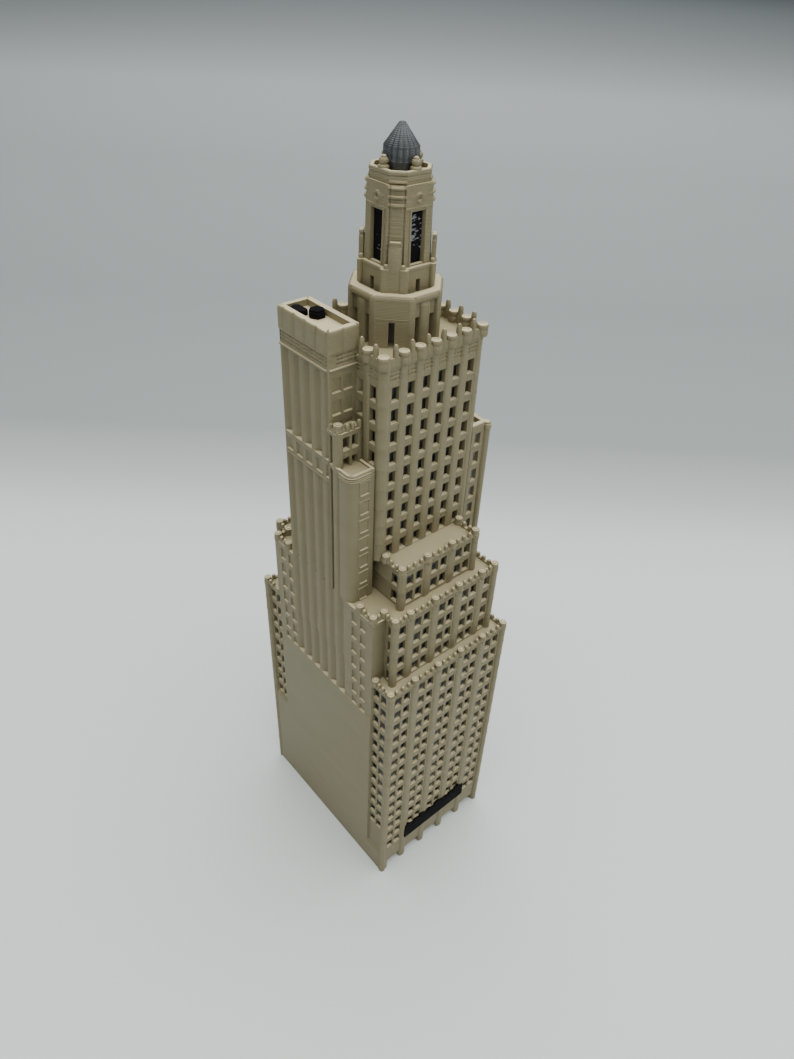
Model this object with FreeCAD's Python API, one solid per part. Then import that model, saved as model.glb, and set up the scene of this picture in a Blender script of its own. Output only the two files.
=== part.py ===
import FreeCAD, Part
import math
import os

# Desk model of a stepped 1930s office tower, assembled from printed plastic pieces.
# Millimetres, +Z up, origin at the centre of the base. The windowed front faces -Y and the
# wall with the tall service tower faces -X. Plan sizes are insets from the base rectangle,
# so every upper piece follows the piece it stands on.

os.makedirs("parts", exist_ok=True)

# Base block, the widest tier
base_width = 29.5
base_depth = 39.9
base_height = 58.6
front_bays = 5
side_bays = 7
corner_inset = 0.5
storey = 3.66
base_rows = 14
row_drop = 2.3

# Walls, decks and fits
wall = 0.95
deck = 1.0
pier_proud = 0.5
pier_radius = 0.8
core_fit = 0.15
seat_fit = 0.1
window_width = 1.5
window_height = 2.3
window_offset = 1.0
slim_width = 1.3
niche_depth = 0.3

# Street level
arch_height = 2.2
ledge_bottom = 5.9
ledge_top = 6.7
ledge_proud = 0.15
marquee_bottom = 7.4
marquee_top = 11.4
marquee_proud = 0.25
marquee_overlap = 0.6
glazing_top = 14.2
glazing_depth = 0.8

# Blank party wall on the west side
blank_height = 48.5
blank_foot = 7.0

# Second tier
two_height = 14.8
two_rows = 4
two_inset = 2.35
wing_start = 5.3
east_wing_start = 10.33

# Third tier
three_height = 7.8
three_rows = 2
three_inset_side = 5.75
three_inset_end = 5.05

# Main tower
tower_top = 116.4
tower_inset_west = 4.85
tower_inset_east = 4.1
tower_inset_end = 10.33
tower_columns = 6
tower_rows = 9
tower_row_drop = 4.6

# East shoulder
shoulder_top = 98.8
shoulder_rows = 6
shoulder_inset_east = 0.05

# West wings and service tower
wing_inset = 0.1
wing_inset_south = 11.3
wing_upper_inset_south = 14.4
wing_lower_top = 99.7
wing_upper_top = 105.6
slab_inset_south = 16.6
slab_inset_north = 11.05
slab_width = 5.65
slab_top = 121.0
slab_rim = 0.9
slab_recess = 1.0
slab_crown_height = 6.0
slab_crown_proud = 0.15
flute_count = 6
flute_pitch = 2.65
flute_radius = 0.55
flute_depth = 0.45

# Parapets
parapet_height = 0.55
parapet_thick = 0.95
knob_radius = 0.8
knob_height = 0.85
stud_radius = 0.42
studs_per_bay = 3
merlon_height = 2.2
merlon_radius = 0.8
bullet_height = 3.0
bullet_radius = 0.45

# Crown
crown_half = 6.9
crown_cut = 4.1
crown_height = 7.8
crown_recess = 1.3
crown_wall = 1.3
crown_panel_inset = 0.6
slot_width = 1.1
slot_offset = 1.5
slot_height = 4.4
upper_half = 5.0
upper_cut = 2.1
upper_height = 4.9
upper_recess = 0.8
upper_panel_inset = 0.35
upper_slot_width = 0.8
pilaster_half = 1.5
pilaster_depth = 1.0
upper_slot_height = 2.1

# Lantern
lantern_half_low = 4.3
lantern_half_high = 3.85
lantern_cut = 1.9
lantern_height = 12.9
lantern_wall = 1.1
lantern_recess = 0.6
lantern_shaft = 9.2
lantern_step = 2.0
lantern_step_inset = 0.2
opening_width = 2.4
opening_bottom = 0.7
opening_height = 7.2
insert_thick = 0.6
insert_lip = 0.3
buttress_width = 1.85
buttress_depth = 0.7
buttress_height = 4.2
urn_radius = 0.72
urn_height = 2.1
urn_orbit = 3.05
cap_sides = 16
cap_foot_radius = 1.95
cap_radius = 2.5
cap_tip_radius = 0.43
cap_flare = 1.3
cap_drum = 3.1
cap_height = 5.75


def block(x0, x1, y0, y1, z0, z1):
    """Rectangular block between two opposite corners."""
    return Part.makeBox(x1 - x0, y1 - y0, z1 - z0, FreeCAD.Vector(x0, y0, z0))


def outline(points, level):
    """Closed wire through plan points at one height."""
    corners = [FreeCAD.Vector(x, y, level) for x, y in points]
    return Part.makePolygon(corners + corners[:1])


def prism(points, z0, z1):
    """Vertical prism over a plan outline."""
    return Part.Face(outline(points, z0)).extrude(FreeCAD.Vector(0, 0, z1 - z0))


def frustum(low, high, z0, z1):
    """Solid lofted between two outlines of equal corner count."""
    return Part.makeLoft([outline(low, z0), outline(high, z1)], True, True)


def octagon(centre, half, cut):
    """Square plan with its four corners cut off."""
    cx, cy = centre
    inner = half - cut
    ring = [(-inner, -half), (inner, -half), (half, -inner), (half, inner)]
    ring += [(inner, half), (-inner, half), (-half, inner), (-half, -inner)]
    return [(cx + x, cy + y) for x, y in ring]


def ngon(centre, radius, sides):
    """Regular polygon plan."""
    cx, cy = centre
    turn = 2 * math.pi / sides
    return [(cx + radius * math.cos(i * turn), cy + radius * math.sin(i * turn)) for i in range(sides)]


def lathe(profile, x, y, z):
    """Solid of revolution about a vertical axis from (radius, height) points."""
    points = [FreeCAD.Vector(r, 0, h) for r, h in profile]
    face = Part.Face(Part.makePolygon(points + points[:1]))
    solid = face.revolve(FreeCAD.Vector(0, 0, 0), FreeCAD.Vector(0, 0, 1), 360)
    solid.translate(FreeCAD.Vector(x, y, z))
    return solid


def join(shapes):
    """One solid from shapes that touch or overlap."""
    return shapes[0].multiFuse(shapes[1:]).removeSplitter()


def carve(body, tools):
    """Body with a list of tools removed in one pass."""
    return body.cut(Part.makeCompound(tools)).removeSplitter()


class Box:
    """Plan rectangle with west, east, south and north edges."""

    def __init__(self, west, east, south, north):
        self.west, self.east, self.south, self.north = west, east, south, north

    def inset(self, amount):
        return Box(self.west + amount, self.east - amount, self.south + amount, self.north - amount)

    def solid(self, z0, z1):
        return block(self.west, self.east, self.south, self.north, z0, z1)

    def centre(self):
        return (self.west + self.east) / 2, (self.south + self.north) / 2

    def spot(self, side, along, level):
        """Point on the outside plane of one side."""
        if side in "SN":
            return FreeCAD.Vector(along, self.south if side == "S" else self.north, level)
        return FreeCAD.Vector(self.west if side == "W" else self.east, along, level)


INWARD = {
    "S": FreeCAD.Vector(0, 1, 0),
    "N": FreeCAD.Vector(0, -1, 0),
    "W": FreeCAD.Vector(1, 0, 0),
    "E": FreeCAD.Vector(-1, 0, 0),
}


def rectangle(plan, side, along, level, width, height):
    """Upright rectangular wire centred on a point of one side."""
    offsets = [(-1, -1), (1, -1), (1, 1), (-1, 1), (-1, -1)]
    corners = [plan.spot(side, along + a * width / 2, level + b * height / 2) for a, b in offsets]
    return Part.makePolygon(corners)


def wall_sheet(plan, side, z0, z1, holes, width):
    """One full-length wall with its window openings."""
    a0, a1 = (plan.west, plan.east) if side in "SN" else (plan.south, plan.north)
    sheet = rectangle(plan, side, (a0 + a1) / 2, (z0 + z1) / 2, a1 - a0, z1 - z0)
    panes = [rectangle(plan, side, along, level, width, window_height) for along, level in holes]
    return Part.makeFace([sheet] + panes, "Part::FaceMakerBullseye").extrude(INWARD[side] * wall)


def shell(plan, z0, z1, holes, width):
    """Hollow tier: four walls with openings under a flat deck. holes maps a side to openings."""
    walls = [wall_sheet(plan, side, z0, z1, holes.get(side, []), width) for side in "SNWE"]
    return join(walls + [plan.inset(wall).solid(z1 - deck, z1)])


def pier(plan, side, along, z0, z1):
    """Rounded pier standing proud of a wall plane."""
    centre = plan.spot(side, along, z0) + INWARD[side] * (pier_radius - pier_proud)
    return Part.makeCylinder(pier_radius, z1 - z0, centre)


def corner_piers(plan, z0, z1):
    """Rounded piers on the four corners, flush with the face of the other piers."""
    inset = pier_radius - pier_proud
    columns = (plan.west + inset, plan.east - inset)
    lines = (plan.south + inset, plan.north - inset)
    spots = [(x, y) for x in columns for y in lines]
    return [Part.makeCylinder(pier_radius, z1 - z0, FreeCAD.Vector(x, y, z0)) for x, y in spots]


def spaced(start, stop, count):
    """Evenly spaced values including both ends."""
    return [start + (stop - start) * i / count for i in range(count + 1)]


def pairs(start, stop, bays):
    """Two window positions in every bay."""
    pitch = (stop - start) / bays
    middles = [start + pitch * (i + 0.5) for i in range(bays)]
    return [m + side * window_offset for m in middles for side in (-1, 1)]


def rows(top, drop, count):
    """Window centre heights counted down from a deck."""
    return [top - drop - storey * i for i in range(count)]


def grid(columns, levels):
    return [(along, level) for along in columns for level in levels]


def knob(x, y, z, radius, height):
    """Flat-topped round knob with a worn edge."""
    edge = radius * 0.75
    return lathe([(0, 0), (radius, 0), (radius, height * 0.7), (edge, height), (0, height)], x, y, z)


def run(a, b, z0, z1, thick):
    """Straight length of parapet wall centred on the line between two plan points."""
    half = thick / 2
    west, east = min(a[0], b[0]) - half, max(a[0], b[0]) + half
    south, north = min(a[1], b[1]) - half, max(a[1], b[1]) + half
    return block(west, east, south, north, z0, z1)


def crest(path, level):
    """Parapet along a path: each step is (x, y, bays to the next point)."""
    parts = []
    top = level + parapet_height
    for (x0, y0, bays), (x1, y1, _) in zip(path, path[1:]):
        if bays is None:
            continue
        parts.append(run((x0, y0), (x1, y1), level, top, parapet_thick))
        count = (studs_per_bay + 1) * bays
        for i in range(count + 1):
            x = x0 + (x1 - x0) * i / count
            y = y0 + (y1 - y0) * i / count
            big = i % (studs_per_bay + 1) == 0
            radius = knob_radius if big else stud_radius
            parts.append(knob(x, y, level, radius, parapet_height + knob_height))
    return join(parts)


def niches(plan, side, columns, levels):
    """Shallow blind windows to carve from a solid wall."""
    cuts = []
    for along in columns:
        for level in levels:
            wire = rectangle(plan, side, along, level, slim_width, window_height)
            cuts.append(Part.Face(wire).extrude(INWARD[side] * niche_depth))
    return cuts


def flutes(plan, start, z0, z1):
    """Rounded vertical grooves to carve from a west face."""
    cuts = []
    for i in range(flute_count):
        x = plan.west + flute_depth - flute_radius
        centre = FreeCAD.Vector(x, start + flute_pitch * i, z0)
        cuts.append(Part.makeCylinder(flute_radius, z1 - z0, centre))
    return cuts


pieces = {}

# ---- Plans -------------------------------------------------------------------------------
base = Box(-base_width / 2, base_width / 2, -base_depth / 2, base_depth / 2)
base_wall = base.inset(pier_proud)
two = base.inset(two_inset)
three = Box(base.west + three_inset_side, base.east - three_inset_side,
            base.south + three_inset_end, base.north - three_inset_end)
tower = Box(base.west + tower_inset_west, base.east - tower_inset_east,
            base.south + tower_inset_end, base.north - tower_inset_end)
wing_south = base.south + wing_start
wing_north = base.north - wing_start
slab = Box(base.west, base.west + slab_width, base.south + slab_inset_south, base.north - slab_inset_north)
flute_start = slab.south - 2.4
axis = tower.centre()

# ---- Levels ------------------------------------------------------------------------------
two_top = base_height + two_height
three_top = two_top + three_height

# ---- Base block --------------------------------------------------------------------------
front_marks = spaced(base.west + corner_inset, base.east - corner_inset, front_bays)
side_marks = spaced(base.south + corner_inset, base.north - corner_inset, side_bays)
front_columns = pairs(front_marks[0], front_marks[-1], front_bays)
side_columns = pairs(side_marks[0], side_marks[-1], side_bays)
base_levels = rows(base_height, row_drop, base_rows)
real_west = side_columns[:2] + side_columns[-2:]
marquee_west = front_marks[1]
marquee_east = front_marks[-2] + marquee_overlap

entrance = [x for x in front_columns if marquee_west < x < marquee_east]
front_holes = grid(front_columns, base_levels)
west_holes = grid(side_columns[:2], base_levels[:-2]) + grid(side_columns[-2:], base_levels[:3])
holes = {"S": front_holes, "N": front_holes, "E": grid(side_columns, base_levels), "W": west_holes}
body = shell(base_wall, 0, base_height, holes, window_width)
extras = corner_piers(base_wall, 0, base_height)
for mark in front_marks[1:-1]:
    extras += [pier(base_wall, side, mark, 0, base_height) for side in "SN"]
extras += [pier(base_wall, "E", mark, 0, base_height) for mark in side_marks[1:-1]]
skin = pier_proud + seat_fit
extras.append(block(base.west, base.west + skin, wing_south, wing_north, 0, base_height))
extras.append(block(base.west, base.west + skin, base.south + pier_radius, base.north - pier_radius,
                    0, blank_foot))
for side_y in (base_wall.south - ledge_proud, base_wall.north - seat_fit):
    extras.append(block(base_wall.west + pier_radius, base_wall.east - pier_radius,
                        side_y, side_y + ledge_proud + seat_fit, ledge_bottom, ledge_top))
body = join([body] + extras)

cuts = []
for left, right in zip(front_marks, front_marks[1:]):
    cuts.append(block(left + pier_radius, right - pier_radius,
                      base.south - wall, base_wall.south + wall + seat_fit,
                      -seat_fit, arch_height))
blind_columns = [wing_south + 2.6, wing_south + 5.0, wing_north - 5.0, wing_north - 2.6]
blind_levels = [level for level in base_levels if level > blank_height]
cuts += niches(base, "W", blind_columns, blind_levels)
cuts += flutes(base, flute_start, blank_height, base_height + seat_fit)
cuts.append(block(marquee_west - seat_fit, marquee_east + seat_fit, base.south - wall, base_wall.south,
                  marquee_bottom - seat_fit, marquee_top + seat_fit))
pieces["base_shell"] = carve(body, cuts)

cavity = base_wall.inset(wall + core_fit)
pieces["base_plate"] = block(cavity.west, cavity.east, cavity.south, cavity.north, 0, deck)
core = cavity.solid(deck, base_height - deck - core_fit)
pocket = block(marquee_west - seat_fit, marquee_east + seat_fit, cavity.south - seat_fit,
               cavity.south + glazing_depth + seat_fit, marquee_bottom - seat_fit, glazing_top + seat_fit)
pieces["base_core"] = core.cut(pocket)
pieces["entrance_glazing"] = block(marquee_west, marquee_east, cavity.south, cavity.south + glazing_depth,
                                   marquee_bottom - seat_fit, glazing_top)
pieces["marquee_band"] = block(marquee_west, marquee_east, base.south - marquee_proud, base_wall.south,
                               marquee_bottom, marquee_top)

knob_line = base.inset(corner_inset)
stop = seat_fit + parapet_thick / 2
crest_path = [
    (knob_line.west, wing_south - stop, 1), (knob_line.west, knob_line.south, front_bays),
    (knob_line.east, knob_line.south, side_bays), (knob_line.east, knob_line.north, front_bays),
    (knob_line.west, knob_line.north, 1), (knob_line.west, wing_north + stop, None),
]
pieces["base_parapet"] = crest(crest_path, base_height)

# ---- Second tier -------------------------------------------------------------------------
two_marks = [two.west + corner_inset] + front_marks[1:-1] + [two.east - corner_inset]
two_first = (two_marks[0] + two_marks[1]) / 2
two_last = (two_marks[-1] + two_marks[-2]) / 2
two_columns = [two_first] + front_columns[2:-2] + [two_last]
two_side = pairs(two.south + corner_inset, two.north - corner_inset, side_bays - 1)
two_levels = rows(two_top, row_drop, two_rows)
two_wall = two.inset(pier_proud)
east_wing_south = base.south + east_wing_start
east_wing_north = base.north - east_wing_start
east_side = [y for y in two_side if y < east_wing_south - 1 or y > east_wing_north + 1]
notch_columns = [(two.south + wing_south) / 2, (two.north + wing_north) / 2]
holes = {
    "S": grid(two_columns, two_levels), "N": grid(two_columns, two_levels),
    "E": grid(east_side, two_levels), "W": grid(notch_columns, two_levels),
}
body = shell(two_wall, base_height, two_top, holes, window_width)
extras = corner_piers(two_wall, base_height, two_top)
for mark in two_marks[1:-1]:
    extras += [pier(two_wall, side, mark, base_height, two_top) for side in "SN"]
wing = block(base.west, two_wall.west + seat_fit, wing_south, wing_north, base_height, two_top)
wing_levels = rows(two_top, row_drop, two_rows)
wing = carve(wing, niches(base, "W", blind_columns, wing_levels)
             + flutes(base, flute_start, base_height - seat_fit, two_top + seat_fit))
extras.append(wing)
extras.append(block(two_wall.east - seat_fit, base.east, east_wing_south, east_wing_north,
                    base_height, two_top))
pieces["tier_two_shell"] = join([body] + extras)
pieces["tier_two_core"] = two_wall.inset(wall + core_fit).solid(base_height, two_top - deck - core_fit)

line = two.inset(corner_inset)
nook_south = wing_south + corner_inset
nook_north = wing_north - corner_inset
west_end = wing_south + 4.0
north_end = wing_north - 4.0
east_stop = east_wing_south + corner_inset
east_back = east_wing_north - corner_inset
two_path = [
    (knob_line.west, west_end, 1), (knob_line.west, nook_south, 1), (line.west, nook_south, 1),
    (line.west, line.south, front_bays - 1), (line.east, line.south, 1), (line.east, east_stop, 1),
    (knob_line.east, east_stop, 3), (knob_line.east, east_back, 1), (line.east, east_back, 1),
    (line.east, line.north, front_bays - 1), (line.west, line.north, 1), (line.west, nook_north, 1),
    (knob_line.west, nook_north, 1), (knob_line.west, north_end, None),
]
pieces["tier_two_parapet"] = crest(two_path, two_top)

# ---- Third tier --------------------------------------------------------------------------
three_marks = front_marks[1:-1]
three_columns = front_columns[2:-2]
three_wall = three.inset(pier_proud)
three_levels = rows(three_top, row_drop, three_rows)
three_side = pairs(three.south + corner_inset, three.north - corner_inset, side_bays - 2)
open_side = [y for y in three_side if y < tower.south or y > tower.north]
holes = {
    "S": grid(three_columns, three_levels), "N": grid(three_columns, three_levels),
    "E": grid(open_side, three_levels), "W": grid(open_side, three_levels),
}
body = shell(three_wall, two_top, three_top, holes, window_width)
extras = corner_piers(three_wall, two_top, three_top)
for mark in three_marks[1:-1]:
    extras += [pier(three_wall, side, mark, two_top, three_top) for side in "SN"]
pieces["tier_three_shell"] = join([body] + extras)
pieces["tier_three_core"] = three_wall.inset(wall + core_fit).solid(two_top, three_top - deck - core_fit)

line = three.inset(corner_inset)
south_end = tower.south - stop
north_end = tower.north + stop
for name, near, far in (("south", line.south, south_end), ("north", line.north, north_end)):
    path = [(line.west, far, 1), (line.west, near, len(three_marks) - 1)]
    path += [(line.east, near, 1), (line.east, far, None)]
    pieces["tier_three_parapet_" + name] = crest(path, three_top)

# ---- Main tower --------------------------------------------------------------------------
tower_wall = tower.inset(pier_proud)
first = tower_wall.west + 2.2
last = tower_wall.east - 2.0
tower_columns_x = spaced(first, last, tower_columns - 1)
tower_levels = rows(tower_top, tower_row_drop, tower_rows)
holes = {"S": grid(tower_columns_x, tower_levels), "N": grid(tower_columns_x, tower_levels)}
body = shell(tower_wall, three_top, tower_top, holes, slim_width)
extras = corner_piers(tower_wall, three_top, tower_top)
for a, b in zip(tower_columns_x, tower_columns_x[1:]):
    extras += [pier(tower_wall, side, (a + b) / 2, three_top, tower_top) for side in "SN"]
body = join([body] + extras)
slab_slot = Box(slab.west, slab.east + seat_fit, slab.south - seat_fit, slab.north + seat_fit)
pieces["tower_shell"] = body.cut(slab_slot.solid(three_top, tower_top + merlon_height + bullet_height))
inner = tower_wall.inset(wall + core_fit)
pieces["tower_core"] = inner.solid(three_top, tower_top - deck - core_fit)

line = tower.inset(corner_inset)
parts = []
route = [(line.west, slab_slot.south - stop), (line.west, line.south), (line.east, line.south)]
route += [(line.east, line.north), (line.west, line.north)]
for a, b in zip(route, route[1:]):
    parts.append(run(a, b, tower_top, tower_top + 2 * parapet_height, parapet_thick))
blocks_front = spaced(line.west, line.east, tower_columns + 1)
blocks_side = spaced(line.south, line.north, tower_columns)
spots = [(x, y) for x in blocks_front for y in (line.south, line.north)]
spots += [(line.east, y) for y in blocks_side[1:-1]] + [(line.west, blocks_side[1])]
for x, y in spots:
    parts.append(knob(x, y, tower_top, merlon_radius, merlon_height))
middles = [(a + b) / 2 for a, b in zip(blocks_front, blocks_front[1:])]
between = [(x, y) for x in middles for y in (line.south, line.north)]
between += [(line.east, (a + b) / 2) for a, b in zip(blocks_side, blocks_side[1:])]
for x, y in between:
    parts.append(knob(x, y, tower_top, bullet_radius, bullet_height))
pieces["tower_parapet"] = join(parts)

# ---- East shoulder -----------------------------------------------------------------------
shoulder = Box(tower.east + seat_fit, base.east - shoulder_inset_east, east_wing_south + seat_fit,
               east_wing_north - seat_fit)
column = [(shoulder.west + 1.0)]
levels = rows(shoulder_top, 1.7, shoulder_rows)
faces = [wall_sheet(shoulder, side, two_top, shoulder_top, grid(column, levels), slim_width)
         for side in "SN"]
depths = pairs(shoulder.south, shoulder.north, 3)
faces += [wall_sheet(shoulder, "E", two_top, shoulder_top, grid(depths, levels), slim_width)]
faces += [wall_sheet(shoulder, "W", two_top, shoulder_top, [], slim_width)]
faces.append(shoulder.inset(wall).solid(shoulder_top - deck, shoulder_top))
rim = shoulder.solid(shoulder_top, shoulder_top + deck)
rim = rim.cut(shoulder.inset(0.8).solid(shoulder_top, shoulder_top + deck))
pieces["east_shoulder_shell"] = join(faces + [rim])
pieces["east_shoulder_core"] = shoulder.inset(wall + core_fit).solid(two_top, shoulder_top - deck - core_fit)

# ---- West wings and service tower --------------------------------------------------------
wing_box = Box(base.west + wing_inset, tower.west - seat_fit,
               base.south + wing_inset_south, slab.south - seat_fit)
upper_south = base.south + wing_upper_inset_south
lower = Box(wing_box.west, wing_box.east, wing_box.south, upper_south - seat_fit)
upper = Box(wing_box.west, wing_box.east, upper_south, wing_box.north)
wing_steps = rows(wing_lower_top, 2.4, 7)
body = lower.solid(two_top, wing_lower_top)
dish = lower.inset(0.7).solid(wing_lower_top - 0.7, wing_lower_top)
blind = niches(lower, "S", [lower.west + 1.4, lower.west + 3.0], wing_steps)
pieces["west_wing_lower"] = carve(body, [dish] + blind)
body = upper.solid(two_top, wing_upper_top)
levels = rows(wing_upper_top, 2.0, 2)
blind = niches(upper, "S", [upper.west + 1.3, upper.west + 3.1], levels)
body = carve(body, blind)
inset = stud_radius + 0.1
studs = [(upper.west + inset, upper.south + inset), (upper.west + inset, upper.north - inset)]
studs += [(upper.west + 1.9, upper.south + inset), (upper.east - inset, upper.south + inset)]
crown_studs = [knob(x, y, wing_upper_top - seat_fit, stud_radius, parapet_height + knob_height)
               for x, y in studs]
pieces["west_wing_upper"] = join([body] + crown_studs)

body = slab.solid(two_top, slab_top)
body = carve(body, flutes(slab, flute_start + flute_pitch, two_top - seat_fit, slab_top - slab_crown_height))
collar = Box(slab.west - slab_crown_proud, slab.east, slab.south, slab.north)
body = join([body, collar.solid(slab_top - slab_crown_height, slab_top)])
floor = slab_top - slab_recess
roof = slab.inset(slab_rim)
pieces["service_tower"] = body.cut(roof.solid(floor, slab_top))
north_third = roof.north - 2.6
pieces["roof_unit_low"] = block(roof.west + 0.3, roof.west + 2.5,
                                north_third - 0.2, north_third + 2.4, floor, floor + 0.8)
unit = ngon((roof.east - 1.25, north_third - 1.5), 1.2, 6)
pieces["roof_unit_tall"] = prism(unit, floor, floor + 1.4)

# ---- Crown drums -------------------------------------------------------------------------
crown_top = tower_top + crown_height
outer = prism(octagon(axis, crown_half - crown_panel_inset, crown_cut), tower_top, crown_top)
rim = prism(octagon(axis, crown_half, crown_cut), crown_top - 2.2, crown_top)
posts = []
corner = crown_half - crown_panel_inset
for sx in (-1, 1):
    for sy in (-1, 1):
        for dx, dy in ((corner, corner - crown_cut), (corner - crown_cut, corner)):
            spot = FreeCAD.Vector(axis[0] + sx * dx, axis[1] + sy * dy, tower_top)
            posts.append(Part.makeCylinder(crown_panel_inset * 0.9, crown_height - seat_fit, spot))
body = join([outer, rim] + posts)
hollow = octagon(axis, crown_half - crown_panel_inset - crown_wall, crown_cut * 0.8)
slots = [prism(hollow, tower_top, crown_top - crown_recess - deck)]
dish = octagon(axis, crown_half - 0.9, crown_cut)
slots.append(prism(dish, crown_top - crown_recess, crown_top + seat_fit))
for offset in (-slot_offset, slot_offset):
    half = slot_width / 2
    x0 = axis[0] + offset
    y0 = axis[1] + offset
    slots.append(block(x0 - half, x0 + half, axis[1] - 2 * crown_half, axis[1] + 2 * crown_half,
                       tower_top, tower_top + slot_height))
    slots.append(block(axis[0] - 2 * crown_half, axis[0] + 2 * crown_half, y0 - half, y0 + half,
                       tower_top, tower_top + slot_height))
for turn in (45, 135):
    slot = block(-2 * crown_half, 2 * crown_half, -0.5, 0.5,
                 tower_top + seat_fit, tower_top + slot_height - 0.4)
    slot.rotate(FreeCAD.Vector(0, 0, 0), FreeCAD.Vector(0, 0, 1), turn)
    slot.translate(FreeCAD.Vector(axis[0], axis[1], 0))
    slots.append(slot)
pieces["crown_drum"] = carve(body, slots)
inner = octagon(axis, crown_half - crown_panel_inset - crown_wall - core_fit, crown_cut * 0.8)
pieces["crown_drum_core"] = prism(inner, tower_top, crown_top - crown_recess - deck - core_fit)

upper_floor = crown_top - crown_recess
upper_top = upper_floor + upper_height
outer = prism(octagon(axis, upper_half - upper_panel_inset, upper_cut), upper_floor, upper_top - 0.3)
parts = [outer]
reach = upper_half * math.sqrt(2) - upper_cut / math.sqrt(2)
lantern_floor = upper_top - upper_recess
seat_half = buttress_width / 2 + seat_fit
for turn in (45, 135, 225, 315):
    pilaster = block(reach - pilaster_depth, reach, -pilaster_half, pilaster_half, upper_floor, upper_top)
    seat = block(reach - 2 * pilaster_depth, reach + seat_fit, -seat_half, seat_half,
                 lantern_floor, upper_top + seat_fit)
    pilaster = pilaster.cut(seat)
    pilaster.rotate(FreeCAD.Vector(0, 0, 0), FreeCAD.Vector(0, 0, 1), turn)
    pilaster.translate(FreeCAD.Vector(axis[0], axis[1], 0))
    parts.append(pilaster)
body = join(parts)
half = upper_slot_width / 2
inner = octagon(axis, upper_half - crown_wall, upper_cut)
slots = [prism(inner, upper_floor, lantern_floor - 0.8)]
slots.append(prism(octagon(axis, upper_half - 0.4, upper_cut), lantern_floor, upper_top + seat_fit))
for x0, x1, y0, y1 in ((-half, half, -9, 9), (-9, 9, -half, half)):
    slots.append(block(axis[0] + x0, axis[0] + x1, axis[1] + y0, axis[1] + y1,
                       upper_floor + 0.7, upper_floor + 0.7 + upper_slot_height))
pieces["crown_upper_drum"] = carve(body, slots)
inner = octagon(axis, upper_half - crown_wall - core_fit, upper_cut)
pieces["crown_upper_core"] = prism(inner, upper_floor, lantern_floor - 0.8 - core_fit)

# ---- Lantern -----------------------------------------------------------------------------
lantern_top = lantern_floor + lantern_height
shaft_top = lantern_floor + lantern_shaft
step_top = shaft_top + lantern_step
half_mid = (lantern_half_low + lantern_half_high) / 2
low = octagon(axis, lantern_half_low, lantern_cut)
mid = octagon(axis, half_mid + 0.1, lantern_cut)
shaft = frustum(low, mid, lantern_floor, shaft_top)
step = prism(octagon(axis, half_mid - lantern_step_inset / 2, lantern_cut), shaft_top, step_top)
collar = prism(octagon(axis, lantern_half_high, lantern_cut), step_top, lantern_top)
body = join([shaft, step, collar])
chamber = octagon(axis, half_mid - lantern_wall, lantern_cut * 0.8)
cuts = [prism(chamber, lantern_floor, lantern_floor + opening_bottom + opening_height + 0.4)]
recess = octagon(axis, lantern_half_high - 0.5, lantern_cut)
cuts.append(prism(recess, lantern_top - lantern_recess, lantern_top + seat_fit))
half = opening_width / 2
sill = lantern_floor + opening_bottom
head = sill + opening_height
for x0, x1, y0, y1 in ((-half, half, -9, 9), (-9, 9, -half, half)):
    cuts.append(block(axis[0] + x0, axis[0] + x1, axis[1] + y0, axis[1] + y1, sill, head))
pieces["lantern_body"] = carve(body, cuts)
chamber_half = half_mid - lantern_wall - insert_lip - core_fit
pieces["lantern_core"] = prism(octagon(axis, chamber_half, lantern_cut * 0.6), lantern_floor, head)

sides = {"south": -90, "east": 0, "north": 90, "west": 180}
for name, turn in sides.items():
    face = half_mid - lantern_wall - insert_lip
    pane = block(face, face + insert_thick + insert_lip, -half + seat_fit, half - seat_fit,
                 sill, head - seat_fit)
    pane.rotate(FreeCAD.Vector(0, 0, 0), FreeCAD.Vector(0, 0, 1), turn)
    pane.translate(FreeCAD.Vector(axis[0], axis[1], 0))
    pieces["lantern_window_" + name] = pane

corners = {"southwest": 225, "southeast": 315, "northeast": 45, "northwest": 135}
for name, turn in corners.items():
    face = lantern_half_low * math.sqrt(2) - lantern_cut / math.sqrt(2) + seat_fit
    low = block(face, face + buttress_depth, -buttress_width / 2, buttress_width / 2, lantern_floor,
                lantern_floor + buttress_height)
    low.rotate(FreeCAD.Vector(0, 0, 0), FreeCAD.Vector(0, 0, 1), turn)
    low.translate(FreeCAD.Vector(axis[0], axis[1], 0))
    pieces["lantern_buttress_" + name] = low

roof_level = lantern_top - lantern_recess
profile = [(0, 0), (urn_radius, 0), (urn_radius, 0.45 * urn_height), (0.7 * urn_radius, 0.5 * urn_height)]
profile += [(0.8 * urn_radius, 0.75 * urn_height), (0.45 * urn_radius, urn_height), (0, urn_height)]
for name, turn in sides.items():
    angle = math.radians(turn)
    spot = (axis[0] + urn_orbit * math.cos(angle), axis[1] + urn_orbit * math.sin(angle))
    pieces["lantern_urn_" + name] = lathe(profile, spot[0], spot[1], roof_level)

foot = ngon(axis, cap_foot_radius, cap_sides)
wide = ngon(axis, cap_radius, cap_sides)
tip = ngon(axis, cap_tip_radius, cap_sides)
flare = frustum(foot, wide, roof_level, roof_level + cap_flare)
drum = prism(wide, roof_level + cap_flare, roof_level + cap_drum)
cone = frustum(wide, tip, roof_level + cap_drum, roof_level + cap_height)
pieces["lantern_cap"] = join([flare, drum, cone])

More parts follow.
